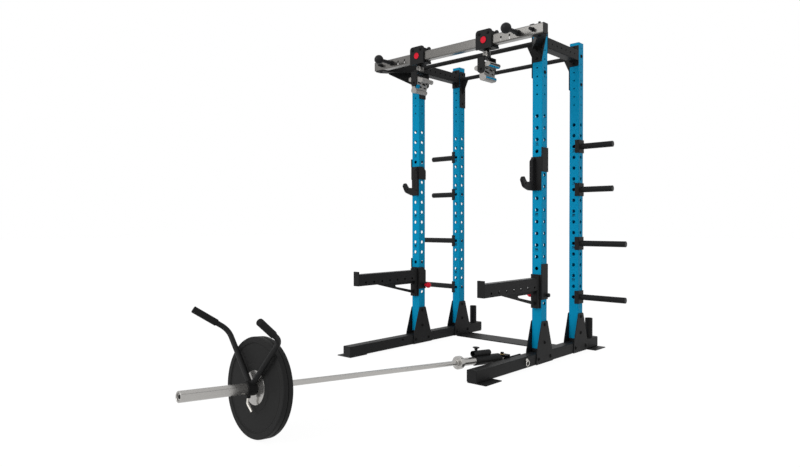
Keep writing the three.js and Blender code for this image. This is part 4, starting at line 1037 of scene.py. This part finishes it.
wall = SIDE - HALF - SEAT
pin_y, pin_z = RING_PIN
bore = prism(disc(RING_PIN, RING_PIN_BORE, 32), "X", wall - 30, wall + 10, soft=0)
plate = box((wall - 8, wall), (pin_y - 70, pin_y + 55), (20, 84), 1.2, [bore],
    corner=5, axis="X")
bush = rounded([(RING_PIN_BORE, 0), (15, 0), (15, 21), (RING_PIN_BORE, 21)], [0, 0, 1.5, 0.6])
low, high = PIVOT.z - 13 - SEAT, PIVOT.z + 13 + SEAT
jaw = [(wall - 6, pin_y + 45), (wall - 6, pin_y - 60), (PIVOT.x + 16, PIVOT.y - 8),
    (PIVOT.x - 18, PIVOT.y - 8), (PIVOT.x - 18, PIVOT.y + 20), (wall - 44, pin_y + 45)]
bracket = Piece().add(BLACK, plate, lathe(bush, (wall - 1, *RING_PIN), (-1, 0, 0), 36),
    prism(rounded(jaw, [0, 6, 10, 12, 10, 8]), "Z", low - 6, low, 1),
    box((PIVOT.x - 18, wall - 1), (PIVOT.y - 14, PIVOT.y + 33), (high, high + 6), 1, corner=5),
    box((PIVOT.x - 14, wall - 1), (PIVOT.y + 26, PIVOT.y + 32), (low - 1, high + 1), 1))
bracket.add(ZINC, rod((PIVOT.x, PIVOT.y, low - 10), (PIVOT.x, PIVOT.y, high + 14), 8.2, 32, 1))
bracket.add(BRASS, turned([(15, 0), (15, 3)], (PIVOT.x, PIVOT.y, high + 6), UP, 36, 0.8))
bracket.add(SCREW, prism(disc((PIVOT.x, PIVOT.y), 13, 6), "Z", high + 9, high + 20, 1.2),
    prism(disc((PIVOT.x, PIVOT.y), 13, 6), "Z", low - 12, low - 6, 1.2))
for y in (pin_y - 55, pin_y + 40):
    bracket.screw((wall - 8, y, 34), (-1, 0, 0), 0.8)
bracket.finish("swivel_bracket", "landmine_bracket")

YAW = Matrix.Translation(PIVOT * MM) @ Matrix.Rotation(atan2(bar_x.y, bar_x.x), 4, "Z")
bore = prism(disc((0, 0), 9, 40), "Z", -20, 20, soft=0)
core = [(-17, -PIN_AHEAD - 12), (17, -PIN_AHEAD - 12), (17, 16), (-17, 16)]
swivel = Piece().add(BLACK,
    moved(prism(rounded(core, [3, 3, 14, 14]), "Z", -13, 13, 1.2, [bore]), YAW))
for outward in (-1, 1):
    stub = [(6, 0), (6, 12), (4.6, 12.8)]
    swivel.add(ZINC,
        moved(turned(stub, (outward * 16, -PIN_AHEAD, 0), (outward, 0, 0), 32, 0.6), YAW))
swivel.finish("swivel", "landmine_swivel", moves=True)


def along_bar(piece, material, outline, radius=1.0, steps=48, up=0.0, closed=True):
    """Turns an outline of (radius, distance) points round the bar's axis, or a line above it."""
    start = bar_point(0, 0, up)
    direction = bar_point(1, 0, up) - start
    made = (turned(outline, start, direction, steps, radius) if closed
        else lathe(rounded(outline, radius, 2), start, direction, steps))
    return piece.add(material, made)


tube = Piece()
along_bar(tube, BLACK, [(31, 45), (31, 300), (26, 300), (26, 49)], 1.2)
for outward in (-1, 1):
    hole = prism(disc((0, 0), 6.8, 32), "X", -60, 60, soft=0)
    ear = around((0, 0, 11), (-22, 0, 11), steps=32)
    tube.add(BLACK, moved(prism(ear, "X", outward * 17.8, outward * 25.8, 1, [hole]), BAR))
LIFT = 44
along_bar(tube, BLACK, [(19, 150), (19, 320), (16, 320), (16, 154)], 1, up=LIFT)
tube.add(BLACK, moved(box((-5, 5), (PIN_AHEAD - 156, PIN_AHEAD - 296), (28, 34), 0.6), BAR))
tube.finish("bar_socket", "landmine_tube", moves=True)

knob_foot = bar_point(288, 0, 63.3)
knob_way = bar_point(288, 0, 64.3) - knob_foot
knob = [(5, -24), (5, 0), (9.5, 0), (9.5, 8), (11, 11), (15, 14), (21, 16),
    (22, 19), (20, 22), (12, 24)]
locking_knob = Piece().add(PLASTIC, turned(knob, knob_foot, knob_way, 40, 1))
locking_knob.finish("socket_knob", "landmine_knob", slot="plastic", moves=True)

x = SIDE + HALF + SEAT
ring = Piece().add(ZINC, rod((wall - 20, *RING_PIN), (x + 10, *RING_PIN), 7, 32, 1.5),
    turned([(12, 0), (12, 8), (9, 10)], (x, *RING_PIN), (1, 0, 0), 36, 1.2))
loop = [(0, 18 * cos(radians(turn)), 18 * sin(radians(turn))) for turn in range(0, 360, 12)]
mesh = bpy.data.meshes.new("loop")
middle = Vector((x + 12, pin_y, pin_z - 18))
mesh.from_pydata([(Vector(point) + middle) * MM for point in loop],
    [(i, (i + 1) % len(loop)) for i in range(len(loop))], [])
ring.add(ZINC, worked(mesh, Shape.modifier(BENT_BAR, Radius=2.5 * MM, Bend=0.0, Sides=16)))
ring.finish("ring_pin", "landmine_lock_ring", slot="chrome", moves=True)

# ---- Barbell, plates and handle ----

shaft = Piece()
along_bar(shaft, CHROME, [(24.5, 50), (24.5, 441)], 1.5)
collar = [(24, 440), (38.5, 440), (40, 441.5), (40, 468.5), (38.5, 470), (30, 470),
    (29, 468.6), (20, 468.6)]
along_bar(shaft, CHROME, collar, 0.8, 64)
along_bar(shaft, CHROME, [(20, 468), (20, 481), (18.5, 482)], 0.8)
along_bar(shaft, SHAFT, [(14, 469), (14, 1809.7)], 0.8, 48)
along_bar(shaft, CHROME, [(10, 1809), (10, 1900)], 0.8, 32)
shaft.finish("bar", "barbell_bar", slot="chrome", moves=True)

END = 2255  # outer end of the sleeve, along the bar
BUMPER = 26  # thickness of a plate
sleeve = Piece()
outline = [(10.4, 1904), (10.4, 1810), (34.5, 1810), (36, 1811.5), (36, 1838.5), (34.5, 1840),
    (24.5, 1840), (24.5, END - 1.5), (23, END), (19, END), (17.5, END - 1.2), (16.6, END - 5.5)]
along_bar(sleeve, CHROME, outline, 0.5, 64)
along_bar(sleeve, SCREW, [(9, END - 6), (9, END - 4.4), (8, END - 3.8)], 0.3, 32)
sleeve.finish("sleeve", "barbell_outer_sleeve", slot="chrome", body="loaded_sleeve")

for label, start in (("inner", 1847.0), ("outer", 1873.3)):
    face = [(76, 3), (80, 2.2), (104, 2.2), (107, 4.2), (190, 4.2), (192, 5), (194.5, 5), (196, 4),
        (199.5, 0.3), (219, 0), (223.5, 1.6), (225, 5)]
    hub = [(24.8, 2.2), (31, 1.6), (33, 2.4), (74.6, 2.4), (76.4, 3)]
    bumper = Piece()
    for material, half, rounding, steps in ((RUBBER, face, 0.6, 120), (CHROME, hub, 0.3, 96)):
        outline = [(radius, start + inset) for radius, inset in half]
        outline += [(radius, start + BUMPER - inset) for radius, inset in reversed(half)]
        along_bar(bumper, material, outline, rounding, steps, closed=False)
    bumper.finish("bumper", "bumper_plate", label, slot="rubber", body="loaded_sleeve")

clamp_start, clamp_end = 1899.6, 1944.6
root = clamp_start + 16
handle = Piece()
along_bar(handle, BLACK, [(25.2, clamp_start), (33, clamp_start), (33, clamp_end),
    (25.2, clamp_end)], 1.4, 64, closed=False)
for sign in (-1, 1):
    foot = bar_point(root, sign * 15, 24)
    corner = bar_point(root + 6, sign * 207, 234)
    tip = bar_point(root + 157, sign * 272, 326)
    back = (corner - tip).normalized()
    handle.add(BLACK, bar([foot, corner, tip + back * 4], 12.4, 78, 32))
    sleeve_start = tip + back * 126
    grip = [(13, 0), (16, 1.5), (16, 124), (14, 126)]
    handle.add(GRIP_RUBBER_AND_PAINTED_SHADE, turned(grip, sleeve_start, -back, 40, 1.4))
clamp_bolt = bar_point(root + 8, -2, 0)
handle.add(BLACK, turned([(10, 29), (10, 42), (8.5, 43)], clamp_bolt,
    bar_point(root + 8, -2, -1) - clamp_bolt, 32, 0.8))
lever = [bar_point(root + 8, -2, -30), bar_point(root + 8, -6, -67), bar_point(root + 2, 24, -99)]
handle.add(ZINC, bar(lever, 5.6, 12, 24))
handle.finish("grip_handle", "landmine_handle", body="loaded_sleeve")

# ---- Camera, lamps and floor ----

camera = placed("camera", bpy.data.cameras.new("camera"))
camera.data.sensor_width, camera.data.lens = 36.0, 28.43
camera.data.clip_start, camera.data.clip_end = 0.05, 100
camera.location = (2.793, -4.384, 0.955)
azimuth, pitch, roll = radians(42.71), radians(-0.84), radians(0.03)
camera.rotation_euler = (pi / 2 + pitch, roll, azimuth)
bpy.context.scene.camera = camera


def lamp(name, kind, energy, aim, **settings):
    data = bpy.data.lights.new(name, kind)
    data.energy = energy
    for key, value in settings.items():
        setattr(data, key, value)
    placed(name, data).rotation_euler = Vector(aim).to_track_quat("-Z", "Y").to_euler()


lamp("key", "SUN", 1.22, (0.22, 0.88, -0.42), angle=radians(40))
lamp("fill", "SUN", 0.35, (-1.0, 0.45, -0.35), angle=radians(60))

world = bpy.data.worlds.new("studio")
bpy.context.scene.world = world
world.use_nodes = True
graph = Graph(world.node_tree)
background = world.node_tree.nodes["Background"]
background.inputs["Color"].default_value = colour(1, 1, 1)
world.node_tree.links.new((0.55 + seen_plainly(graph) * 0.45).socket, background.inputs["Strength"])

floor_mesh = bpy.data.meshes.new("floor")
floor_mesh.from_pydata([(-40, -40, 0), (40, -40, 0), (40, 40, 0), (-40, 40, 0)], [], [(0, 1, 2, 3)])
floor = placed("floor", floor_mesh)
floor.location.z = -0.0005
floor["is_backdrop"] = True
pale = bpy.data.materials.new("pale_floor")
pale.use_nodes = True
graph = Graph(pale.node_tree)
plain = graph.node("BsdfDiffuse", {"Color": colour(0.85, 0.85, 0.85)})
glow = graph.node("Emission", {"Color": colour(1, 1, 1), "Strength": 1.1})
mixed = graph.node("MixShader", {0: seen_plainly(graph) * 0.85, 1: plain, 2: glow})
output = pale.node_tree.nodes["Material Output"]
pale.node_tree.links.new(mixed.socket, output.inputs["Surface"])
floor_mesh.materials.append(pale)

bpy.context.scene.view_settings.view_transform = "Standard"
for _, keeper in TEMPLATES.values():
    bpy.data.objects.remove(keeper)
low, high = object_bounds()
